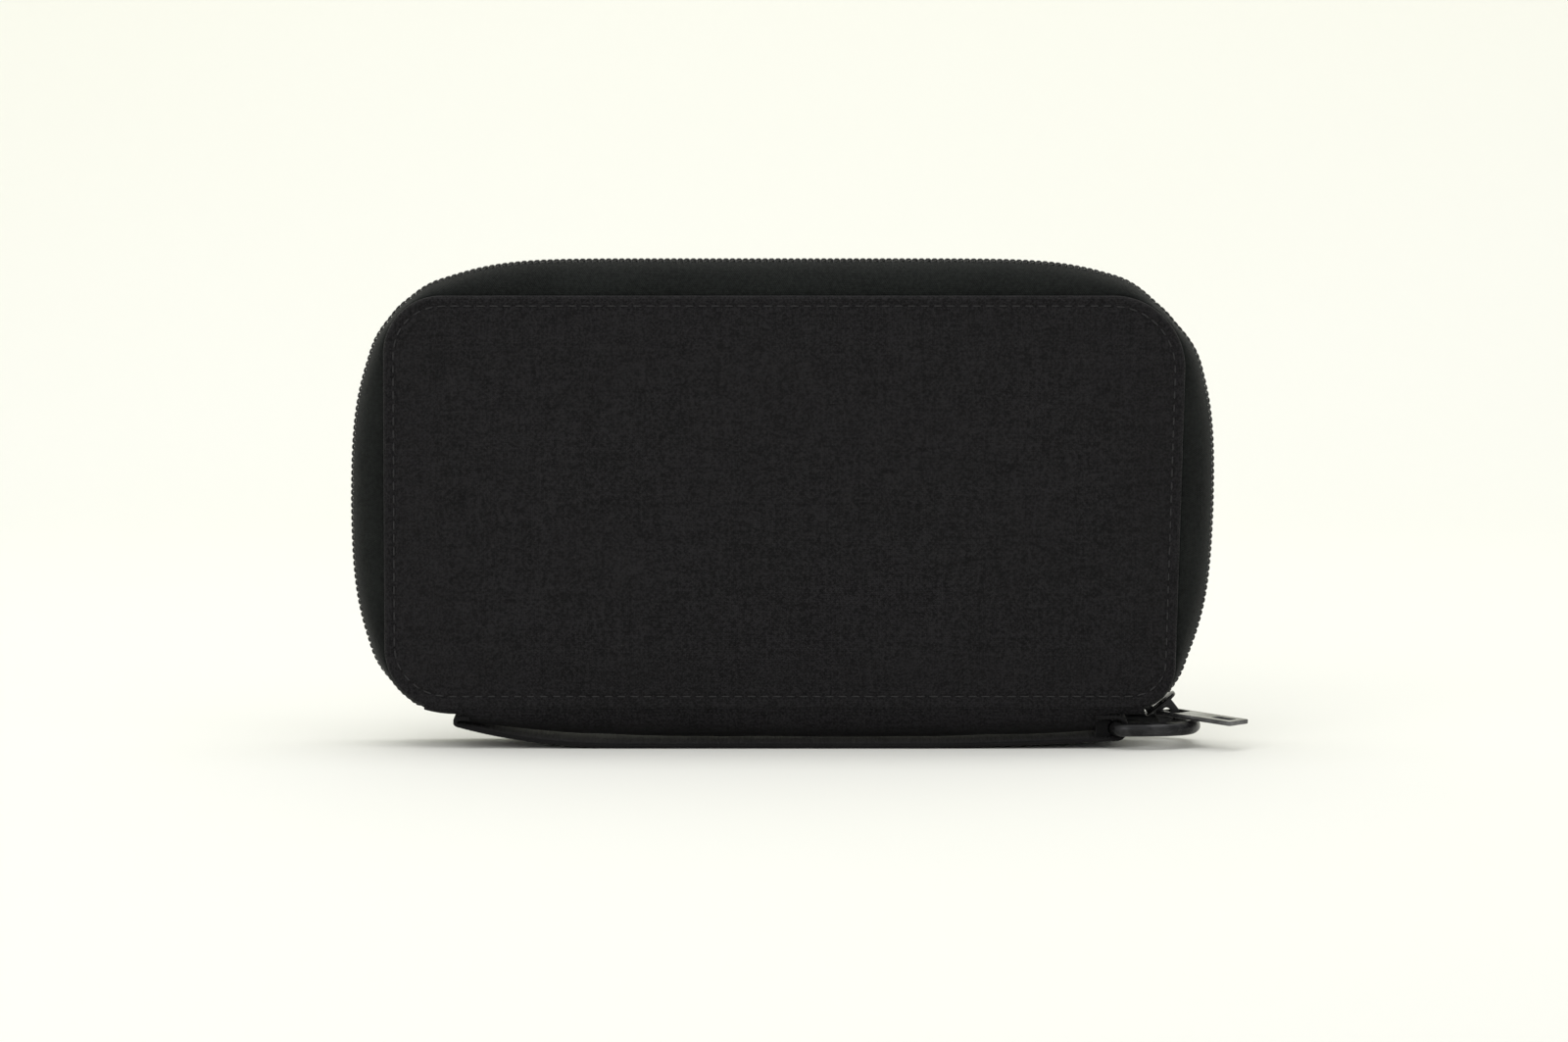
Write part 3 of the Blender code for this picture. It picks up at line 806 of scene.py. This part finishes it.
def make_coil(prefix, side):
    """One half of the chain: a flattened spiral whose heads mesh with the other half's."""
    points, normals = chain_line(1.0 * MM)
    lengths = lengths_along(points)
    turns = round(lengths[-1] / COIL_PITCH) - 1
    per_turn = 12
    middle = (COIL_OUTER + COIL_INNER) / 2
    half_width = (COIL_OUTER - COIL_INNER) / 2
    shift = 0.25 if side == FRONT else 0.75
    spiral = []
    k = 0
    for turn in spread(0, turns, turns * per_turn):
        angle = 2 * pi * turn
        sway = 0.08 * cos(angle)
        goal = min(max((turn + shift + sway) * COIL_PITCH, 0), lengths[-1] - 1e-6)
        while lengths[k + 1] < goal:
            k += 1
        while lengths[k] > goal:
            k -= 1
        share = (goal - lengths[k]) / (lengths[k + 1] - lengths[k])
        centre = points[k].lerp(points[k + 1], share)
        normal = normals[k].lerp(normals[k + 1], share).normalized()
        across = middle - half_width * cos(angle)
        rise = COIL_HALF_HEIGHT * sin(angle) * (1 - 0.25 * cos(angle))
        spiral.append(centre + normal * rise + Vector((0, side * across, 0)))
    rows = tube_rows(spiral, COIL_THREAD, 6)
    coil = object_from(rows, f"{prefix}_coil_turns", COIL, f"{prefix}_cover")
    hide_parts(f"{prefix}_zip_coil")


def make_coil_stitching(prefix, side):
    """The double row of thread that holds the coil down on its tape."""
    points, normals = chain_line(1.0 * MM)
    bm = bmesh.new()
    for across, rise in ((1.4 * MM, 0.9), (2.3 * MM, 0.8)):
        line = []
        height = (COIL_HALF_HEIGHT + COIL_THREAD) * rise
        for point, normal in zip(points, normals):
            line.append(point + normal * height + Vector((0, side * across, 0)))
        stitches(bm, line, normals, 0.16 * MM, COIL_PITCH, 1.5 * MM)
    seam = finish_object(bm, f"{prefix}_coil_stitching", STITCH, f"{prefix}_cover")


# ---- spine and strap


SPINE_LOW, SPINE_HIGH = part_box("spine_panel")
SPINE_REACH_LEFT = -98.6 * MM
SPINE_REACH_RIGHT = 99.4 * MM
SPINE_SAG = SPINE_HIGH[2] - SPINE_LOW[2]
SPINE_LEFT_SAG = 3.6 * MM
SPINE_RIGHT_SAG = 5.9 * MM
SPINE_SLACK = 0.4 * MM
SPINE_CLOTH = 0.5 * MM
SPINE_WRINKLE = 0.25 * MM
SPINE_END_SAG = 0.8 * MM
SPINE_TURN_UP = 90 * MM
SPINE_TURN_RADIUS = 60 * MM


def spine_sag(x):
    """How far the spine's cloth hangs: most in its middle, and hardly at all past the boards."""
    end_sag = SPINE_RIGHT_SAG if x > 0 else SPINE_LEFT_SAG
    share = min(abs(x) / SPINE_HIGH[0], 1.0) ** 3
    beyond = max(abs(x) - SPINE_HIGH[0] - 1.5 * MM, 0)
    sag = SPINE_SAG + (end_sag - SPINE_SAG) * share + SPINE_SLACK
    return max(sag - 1.6 * beyond, SPINE_END_SAG)


def end_rise(x):
    """How far the spine's left end turns up with the covers' round corners."""
    return max(-x - SPINE_TURN_UP, 0) ** 2 / SPINE_TURN_RADIUS


def make_spine():
    """The spine's cloth, hung between the covers' folds, with soft creases along it."""
    rows = []
    for x in spread(SPINE_REACH_LEFT, SPINE_REACH_RIGHT, 150):
        arcs = []
        for depth in (0.0, SPINE_CLOTH):
            sag = max(spine_sag(x) - depth, 0.05 * MM)
            arc = []
            for angle in spread(0, pi, 20):
                wrinkle = SPINE_WRINKLE * noise.noise(Vector((x * 60, cos(angle) * 1.3, 2.0)))
                wrinkle *= sin(angle) * ease(sag / (3 * MM))
                drop = sag * abs(sin(angle)) ** 0.8 - wrinkle
                y = (SPINE_HIGH[1] - depth) * cos(angle)
                arc.append(Vector((x, y, SPINE_HIGH[2] + end_rise(x) - drop)))
            arcs.append(arc)
        rows.append(arcs[0] + arcs[1][::-1])
    cloth = object_from(rows, "spine_cloth", SHELL_FOLD, "spine")
    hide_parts("spine_panel")


def make_fold(prefix, side):
    """The cloth that turns with the cover along the spine's edge."""
    low = SPINE_HIGH[2]
    # y in millimetres, an edge, and millimetres above it
    section = (
        (11.55, low, -0.5), (11.9, low, 0.1), (11.95, BOTTOM, 0.1), (11.6, BOTTOM, 0.7),
        (11.2, BOTTOM, 0.6), (11.5, BOTTOM, 0.0), (11.4, low, 0.1), (11.1, low, -0.4),
    )
    rows = []
    for x in spread(SPINE_REACH_LEFT, SPINE_REACH_RIGHT, 90):
        rise = end_rise(x)
        rows.append([Vector((x, side * y * MM, z + rise + up * MM)) for y, z, up in section])
    fold = object_from(rows, f"{prefix}_fold", SHELL_FOLD, None)
    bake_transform(fold)


def strap_line():
    """The webbing's centre line: left fold, bow down to the floor, loop round the ring's bar."""
    half = STRAP / 2
    fold = Vector((STRAP_LEFT_X, 0, STRAP_LEFT_Z + FOLD_RADIUS))
    line = [fold + Vector((FOLD_BACK, 0, FOLD_RADIUS))]
    for angle in spread(pi / 2, 3 * pi / 2, 12):
        line.append(fold + tall_turn(angle) * FOLD_RADIUS)
    for x in spread(STRAP_LEFT_X, STRAP_FLAT_LEFT, 20)[1:]:
        share = (STRAP_FLAT_LEFT - x) / (STRAP_FLAT_LEFT - STRAP_LEFT_X)
        line.append(Vector((x, 0, half + (STRAP_LEFT_Z - half) * share ** 2.4)))
    for x in spread(STRAP_FLAT_RIGHT, RING_BAR.x, 20)[:-1]:
        line.append(Vector((x, 0, strap_low(x))))
    for angle in spread(-pi / 2, pi / 2, 16):
        line.append(RING_BAR + tall_turn(angle) * LOOP_RADIUS)
    line.append(Vector((RING_BAR.x - LOOP_TAIL, 0, RING_BAR.z + LOOP_RADIUS)))
    return line


def strap_low(x):
    """Height of the webbing's centre line on its way from the floor up to the ring."""
    low_z = RING_BAR.z - LOOP_RADIUS
    share = (x - STRAP_FLAT_RIGHT) / (RING_BAR.x - STRAP_FLAT_RIGHT)
    return STRAP / 2 + (low_z - STRAP / 2) * share ** 1.5


def make_loop_tack():
    """The webbing's end, folded in between the loop's two layers behind the ring's bar."""
    left = RING_BAR.x - LOOP_TAIL
    section = [
        Vector((left, 0, RING_BAR.z + LOOP_RADIUS)),
        Vector((left, 0, strap_low(left))),
    ]
    for angle in spread(radians(240), radians(120), 12):
        section.append(RING_BAR + tall_turn(angle) * (RING_WIRE + 0.2 * MM))
    reach = STRAP_HALF_WIDTH - TACK_INSET
    rows = [[point + Vector((0, y, 0)) for point in section] for y in spread(-reach, reach, 24)]
    tack = object_from(rows, "strap_loop_tack", WEBBING, "spine", smooth=False)


def make_strap():
    """Ribbed webbing: a rib across it every pitch, and thinner edges."""
    per_rib = 6
    columns = 12
    line = resample(strap_line(), RIB_PITCH / per_rib)
    rows = []
    for i, point in enumerate(line):
        along = (line[min(i + 1, len(line) - 1)] - line[max(i - 1, 0)]).normalized()
        across = Vector((-along.z, 0, along.x))
        rib = RIB_DEPTH * (abs(sin(pi * i / per_rib)) - 1)
        below = []
        above = []
        for k, y in enumerate(spread(-STRAP_HALF_WIDTH, STRAP_HALF_WIDTH, columns)):
            edge = 0.62 if k in (0, columns) else 1.0
            out = across * (STRAP / 2 + rib) * edge
            middle = point + Vector((0, y, 0))
            below.append(middle - out)
            above.append(middle + out)
        rows.append(below + above[::-1])
    strap = object_from(rows, "strap_webbing", WEBBING, "spine")
    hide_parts("carry_strap")


# ---- metal


def ring_path():
    """The wire's centre line: the straight bar, then the round side of the D."""
    start = 1.6 * MM
    bar_half = RING_HALF - RING_BEND
    points = [Vector((0, y, 0)) for y in spread(-bar_half, bar_half, 11)]
    for angle in spread(pi / 2, -pi / 2, 64):
        out = abs(cos(angle)) ** 0.62
        along = signed_power(sin(angle), 0.62)
        points.append(Vector((start + (RING_REACH - start) * out, RING_HALF * along, 0)))
    return [RING_BAR + point for point in points]


def make_ring():
    rows = tube_rows(ring_path(), RING_ROUND, 20, closed=True)
    ring = object_from(rows, "ring_wire", METAL, "ring", close_along=True)
    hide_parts("d_ring")


def rounded(low, high, radius):
    """A rectangle's outline with round corners."""
    centre = (Vector(low) + Vector(high)) / 2
    reach = (Vector(high) - Vector(low)) / 2 - Vector((radius, radius))
    points = []
    for sx, sy, start in ((1, 1, 0), (-1, 1, 90), (-1, -1, 180), (1, -1, 270)):
        corner = centre + Vector((sx * reach.x, sy * reach.y))
        for angle in spread(start, start + 90, 6):
            points.append(corner + flat_turn(radians(angle)) * radius)
    return points


def circle(centre, radius):
    return [Vector(centre) + flat_turn(angle) * radius for angle in full_turn(32)]


def add_plate(bm, outlines, low, high, bevel, matrix):
    """A flat plate between two heights; outlines after the first one are holes in it."""
    curve = bpy.data.curves.new("plate", "CURVE")
    curve.dimensions = "2D"
    curve.fill_mode = "BOTH"
    curve.extrude = (high - low) / 2 - bevel
    curve.bevel_depth = bevel
    curve.bevel_resolution = 2
    for points in outlines:
        spline = curve.splines.new("POLY")
        spline.points.add(len(points) - 1)
        for spot, (x, y) in zip(spline.points, points):
            spot.co = (x, y, 0, 1)
        spline.use_cyclic_u = True
    obj = place("plate", curve)
    mesh = bpy.data.meshes.new_from_object(obj.evaluated_get(bpy.context.evaluated_depsgraph_get()))
    part = bmesh.new()
    part.from_mesh(mesh)
    bmesh.ops.remove_doubles(part, verts=part.verts, dist=0.01 * MM)
    part.transform(matrix @ Matrix.Translation((0, 0, (low + high) / 2)))
    merged = bpy.data.meshes.new("plate_part")
    part.to_mesh(merged)
    part.free()
    bm.from_mesh(merged)
    bpy.data.objects.remove(obj, do_unlink=True)


def slider_frame():
    """The slider's own axes: x up the chain, y across it, z out of the case."""
    centre, radius, _, _ = ARCS[-1]
    flat = centre + flat_turn(SLIDER_CORNER_ANGLE) * (radius + BULGE_CORNER)
    up = tall_turn(SLIDER_LEAN)
    out = Vector((up.z, 0, -up.x))
    matrix = Matrix((up, out.cross(up), out)).transposed().to_4x4()
    matrix.translation = Vector((flat.x, 0, flat.y))
    return matrix


def shield(half_length, nose, tail):
    """A slider plate's outline: broad at the nose, narrower at the tail, with round corners."""
    points = []
    for angle in full_turn(48):
        x = signed_power(cos(angle), 0.55)
        width = tail + (nose - tail) * ease((x + 1) / 1.4)
        points.append((x * half_length, signed_power(sin(angle), 0.55) * width))
    return points


def finish_metal(bm, name, material, body, node):
    """A metal piece, smooth but with its edges kept sharp."""
    piece = finish_object(bm, name, material, body, smooth=False)
    piece.data.shade_smooth()
    piece.data.set_sharp_from_angle(angle=SHARP_ANGLE)
    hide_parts(node)


def make_slider():
    """Two plates with lips, the post between them, and the bridge that holds the pull."""
    half = SLIDER_LENGTH / 2
    width = SLIDER_HALF_WIDTH
    matrix = slider_frame()
    face = PLATE_OUT + PLATE
    bm = bmesh.new()
    plate = shield(half, width, PLATE_TAIL * width)
    add_plate(bm, [plate], PLATE_OUT, face, PLATE_BEVEL, matrix)
    add_plate(bm, [plate], -PLATE_IN - PLATE, -PLATE_IN, PLATE_BEVEL, matrix)
    for side in (-1, 1):
        middle = side * (width - LIP_INSET)
        low = (-0.6 * half, middle - LIP_HALF_WIDTH)
        high = (0.62 * half, middle + LIP_HALF_WIDTH)
        lip = rounded(low, high, 0.4 * MM)
        add_plate(bm, [lip], -PLATE_IN - SINK, -PLATE_IN + LIP_HEIGHT, 0.15 * MM, matrix)
    low = (-BRIDGE_HALF_LENGTH, PLATE_OUT + 0.05 * MM)
    lug = rounded(low, (BRIDGE_HALF_LENGTH, BRIDGE_TOP), 1.0 * MM)
    hole = circle((0, PIVOT_HEIGHT), BAR_CLEARANCE)
    upright = matrix @ Matrix.Rotation(radians(90), 4, "X")
    add_plate(bm, [lug, hole], -BRIDGE_HALF_WIDTH, BRIDGE_HALF_WIDTH, 0.2 * MM, upright)
    low = (-BRIDGE_HALF_LENGTH - 0.4 * MM, -FOOT_HALF_WIDTH)
    foot = rounded(low, (BRIDGE_HALF_LENGTH + 0.5 * MM, FOOT_HALF_WIDTH), 0.8 * MM)
    add_plate(bm, [foot], face - SINK, face + FOOT_HEIGHT, 0.12 * MM, matrix)
    low = (-half + 0.5 * MM, -POST_HALF_WIDTH)
    post = rounded(low, (-half + 2.6 * MM, POST_HALF_WIDTH), 0.5 * MM)
    add_plate(bm, [post], -PLATE_IN - SINK, PLATE_OUT + SINK, 0.05 * MM, matrix)
    finish_metal(bm, "slider_body", METAL, "slider", "zip_slider")


def make_pull():
    """A flat blank pull: a window round the bridge and a slot near its free end."""
    pivot = slider_frame() @ Vector((0, 0, PIVOT_HEIGHT))
    level = cos(PULL_DROP)
    along = Vector((level * cos(PULL_YAW), -level * sin(PULL_YAW), -sin(PULL_DROP)))
    across = Vector((sin(PULL_YAW), cos(PULL_YAW), 0))
    matrix = Matrix((along, across, along.cross(across))).transposed().to_4x4()
    matrix.translation = pivot
    half_width = PULL_WIDTH / 2
    body = rounded((-PULL_BAR / 2, -half_width), (PULL_REACH, half_width), 0.5 * MM)
    length, width = PULL_WINDOW
    window = rounded((PULL_BAR / 2, -width / 2), (PULL_BAR / 2 + length, width / 2), 0.4 * MM)
    length, width = PULL_SLOT
    slot_end = PULL_REACH - PULL_SLOT_MARGIN
    slot = rounded((slot_end - length, -width / 2), (slot_end, width / 2), 0.5 * MM)
    bm = bmesh.new()
    half = PULL_THICKNESS / 2
    add_plate(bm, [body, window, slot], -half, half, PULL_BEVEL, matrix)
    finish_metal(bm, "pull_plate", PULL_METAL, "pull", "pull_tab")


# ---- inside


class Pocket:
    """A sewn pocket: soft cloth, a bound top edge, and stitches round its other three sides."""

    def __init__(self, node, side):
        self.node = node
        self.side = side
        self.body = "front_cover" if side == FRONT else "back_cover"
        self.low, self.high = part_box(node)
        self.back = max(abs(self.low[1]), abs(self.high[1]))
        self.face = min(abs(self.low[1]), abs(self.high[1]))

    def stations(self):
        """(x, how free the cloth is there, how far its top edge hangs) across the pocket."""
        width = self.high[0] - self.low[0]
        result = []
        for u in spread(0, 1, max(10, round(width / (4 * MM)))):
            puff = ease(min(u, 1 - u) * width / POCKET_EASE)
            sag = POCKET_SAG * puff * (1 - (2 * u - 1) ** 2)
            result.append((self.low[0] + width * u, puff, sag))
        return result

    def make_cloth(self):
        rows = []
        for x, free, sag in self.stations():
            front = []
            rear = []
            for v in spread(0, 1, 16):
                z = self.low[2] + (self.high[2] - self.low[2]) * v
                puff = free * ease(v * 5)
                wave = 0.5 + 0.5 * noise.noise(Vector((x * 45, z * 60, self.back * 300)))
                depth = self.face + POCKET_WAVE * (1 - puff * wave)
                if v == 1:
                    z -= sag
                front.append(Vector((x, self.side * depth, z)))
                rear.append(Vector((x, self.side * (self.back - 0.1 * MM), z)))
            rows.append(front + rear[::-1])
        cloth = object_from(rows, f"{self.node}_cloth", LINING, self.body)
        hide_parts(self.node)

    def make_top(self):
        middle = (self.face + self.back) / 2
        half = (self.back - self.face) / 2 * 1.15
        rows = []
        for x, _, sag in self.stations():
            row = []
            for angle in full_turn(10):
                y = self.side * (middle + half * cos(angle))
                rise = 1.6 * MM * signed_power(sin(angle), 0.5)
                row.append(Vector((x, y, self.high[2] - sag - 1.5 * MM + rise)))
            rows.append(row)
        binding = object_from(rows, f"{self.node}_binding", ELASTIC, self.body)

    def make_stitching(self):
        left = self.low[0] + POCKET_SEAM
        right = self.high[0] - POCKET_SEAM
        top = self.high[2] - 3 * MM
        bottom = self.low[2] + POCKET_SEAM
        corners = ((left, top), (left, bottom), (right, bottom), (right, top))
        line = [Vector((x, self.side * self.face, z)) for x, z in corners]
        out = Vector((0, -self.side, 0))
        bm = bmesh.new()
        for a, b in zip(line, line[1:]):
            stitches(bm, resample([a, b], 1 * MM), [out], 0.18 * MM, 3 * MM, 2.2 * MM)
        seam = finish_object(bm, f"{self.node}_stitching", STITCH, self.body)


def make_pocket(node, side):
    pocket = Pocket(node, side)
    pocket.make_cloth()
    pocket.make_top()
    pocket.make_stitching()


def make_binding(prefix, side):
    """The tape that binds the lining's edge all round a cover."""
    # Inset from the seam and depth from the middle, in millimetres
    section = (
        (3.4, 7.93), (2.4, 7.78), (1.2, 7.82), (0.7, 8.2), (0.6, 8.9),
        (0.8, 9.4), (1.2, 9.4), (1.3, 8.9), (3.3, 8.9),
    )
    rows = []
    for point, normal in outline(2.5 * MM):
        rows.append([lift(point - normal * inset * MM, depth * MM, side) for inset, depth in section])
    name = f"{prefix}_lining_binding"
    binding = object_from(rows, name, ELASTIC, f"{prefix}_cover", close_along=True)


def make_flanges(prefix, side):
    """Lining strips on both sides of the hinge, which cover the joint when the case is open."""
    # Each strip's section is (y, z) in millimetres
    strips = (
        (f"{prefix}_spine_flange", "spine", ((7.4, 11.55), (9.4, 11.15), (11.2, 10.45))),
        (f"{prefix}_cover_flange", f"{prefix}_cover", ((10.4, 10.8), (10.0, 11.8), (9.35, 13.2))),
    )
    for name, body, section in strips:
        back = [(y - FLANGE_SHIFT, z - FLANGE) for y, z in reversed(section)]
        rows = []
        for x in spread(SPINE_LOW[0] + 1 * MM, SPINE_HIGH[0] - 1 * MM, 40):
            rows.append([Vector((x, side * y * MM, z * MM)) for y, z in (*section, *back)])
        strip = object_from(rows, name, LINING, body)


def make_pen_loop():
    """An elastic band with a rib at each rubber thread."""
    low, high = [Vector(corner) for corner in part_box("pen_loop")]
    centre = (low + high) / 2
    half = (high - low) / 2
    ribs = 56
    rows = []
    profile = [(0.0, z) for z in spread(low.z, high.z, ribs)]
    profile += [(PEN_LOOP, high.z), (PEN_LOOP, low.z)]
    for inset, z in profile:
        turn = pi * (z - low.z) / (high.z - low.z) * ribs
        if inset == 0:
            inset = 0.08 * MM * (1 - cos(turn))
        row = []
        for angle in full_turn(40):
            x = centre.x + (half.x - inset) * cos(angle)
            y = centre.y + (half.y - inset) * sin(angle)
            row.append(Vector((x, y, z)))
        rows.append(row)
    loop = object_from(rows, "pen_elastic", ELASTIC, "front_cover", close_along=True)
    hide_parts("pen_loop")


def set_material(node, material):
    """Gives a CAD solid that stays in view its material."""
    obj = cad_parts[node]
    obj.data.materials.clear()
    obj.data.materials.append(material)


def finish_nodes():
    """Boards, linings and the zip's stop are shown as the CAD has them."""
    for prefix in ("front", "back", "spine"):
        set_material(f"{prefix}_board", BOARD)
        set_material(f"{prefix}_lining", LINING)
    set_material("zip_bottom_stop", METAL)


# ---- stage


def make_stage():
    """A pale sweep: floor, a wide curve and a wall."""
    look = Shader("backdrop_paper", 0.9, specular=0.2)
    # Painted light: the paper's colour runs from a paler, whiter floor to a darker, yellower wall over
    # the first half metre of height, in place of the lamps' falloff up the sweep. The mottle on top is
    # the paper's own.
    height = look.parts(look.object_coords)[2]
    mottle = look.ramp(look.noise(0.4, 2.0), 0.3, 0.7, -0.06, 0.06)
    tone = look.add(look.ramp(height, 0.0, 0.5), mottle)
    look.colour(tone, (0.91, 0.91, 0.875), (0.872, 0.874, 0.765))
    bend = 0.7
    radius = 0.8
    profile = [Vector((0, -2.5, 0))]
    for angle in spread(0, pi / 2, 16):
        profile.append(Vector((0, bend + radius * sin(angle), radius * (1 - cos(angle)))))
    profile.append(Vector((0, bend + radius, 3.0)))
    rows = [[point + Vector((x, 0, 0)) for point in profile] for x in (-3, -1, 0, 1, 3)]
    sweep = object_from(rows, "backdrop", look.material, None, close_across=False)


def add_area(name, spot, target, size, power, colour):
    """A rectangular softbox, its size in metres and its power in watts."""
    light = bpy.data.lights.new(name, "AREA")
    light.shape = "RECTANGLE"
    light.size = size[0]
    light.size_y = size[1]
    light.energy = power
    light.color = colour
    obj = place(name, light)
    obj.location = spot
    obj.rotation_euler = (Vector(target) - Vector(spot)).to_track_quat("-Z", "Y").to_euler()


def make_light():
    """An even pale studio: a bright world, two softboxes and a light on the wall."""
    world = bpy.data.worlds.new("studio")
    world.use_nodes = True
    background = world.node_tree.nodes["Background"]
    background.inputs["Color"].default_value = (1.0, 1.0, 0.98, 1)
    background.inputs["Strength"].default_value = 0.71
    bpy.context.scene.world = world
    add_area("top_softbox", (0.0, -0.1, 1.3), (0, 0, 0.05), (1.6, 1.2), 6, (1, 1, 0.98))
    add_area("front_softbox", (-0.6, -1.4, 0.9), (0, 0, 0.06), (1.2, 0.9), 5, (1, 1, 0.99))
    add_area("wall_light", (0.0, 0.3, 1.6), (0, 1.5, 0.6), (2.0, 0.8), 6, (1, 1, 0.96))
    bpy.context.scene.view_settings.view_transform = "Standard"


def make_camera():
    """A long lens, square to the front cover and a little above it."""
    camera = bpy.data.cameras.new("camera")
    camera.sensor_width = SENSOR
    camera.lens = SENSOR * DISTANCE / (IMAGE_WIDTH * SCALE)
    camera.clip_start = 0.01
    camera.clip_end = 20
    obj = place("camera", camera)
    back = Vector((0, -cos(ELEVATION), sin(ELEVATION)))
    obj.location = CAMERA_TARGET + back * DISTANCE
    obj.rotation_euler = (-back).to_track_quat("-Z", "Y").to_euler()
    bpy.context.scene.camera = obj


make_camera()
make_stage()
make_light()
for prefix, side in (("front", FRONT), ("back", BACK)):
    make_cover(prefix, side)
    make_tape(prefix, side)
    make_coil(prefix, side)
    make_coil_stitching(prefix, side)
    make_fold(prefix, side)
    make_binding(prefix, side)
    make_flanges(prefix, side)
make_spine()
make_strap()
make_loop_tack()
make_ring()
make_slider()
make_pull()
for name, side in (("ticket_pocket", FRONT), ("boarding_pass_pocket", FRONT), ("passport_pocket", BACK)):
    make_pocket(name, side)
for number in range(1, 4):
    make_pocket(f"card_pocket_{number}", BACK)
make_pen_loop()
finish_nodes()
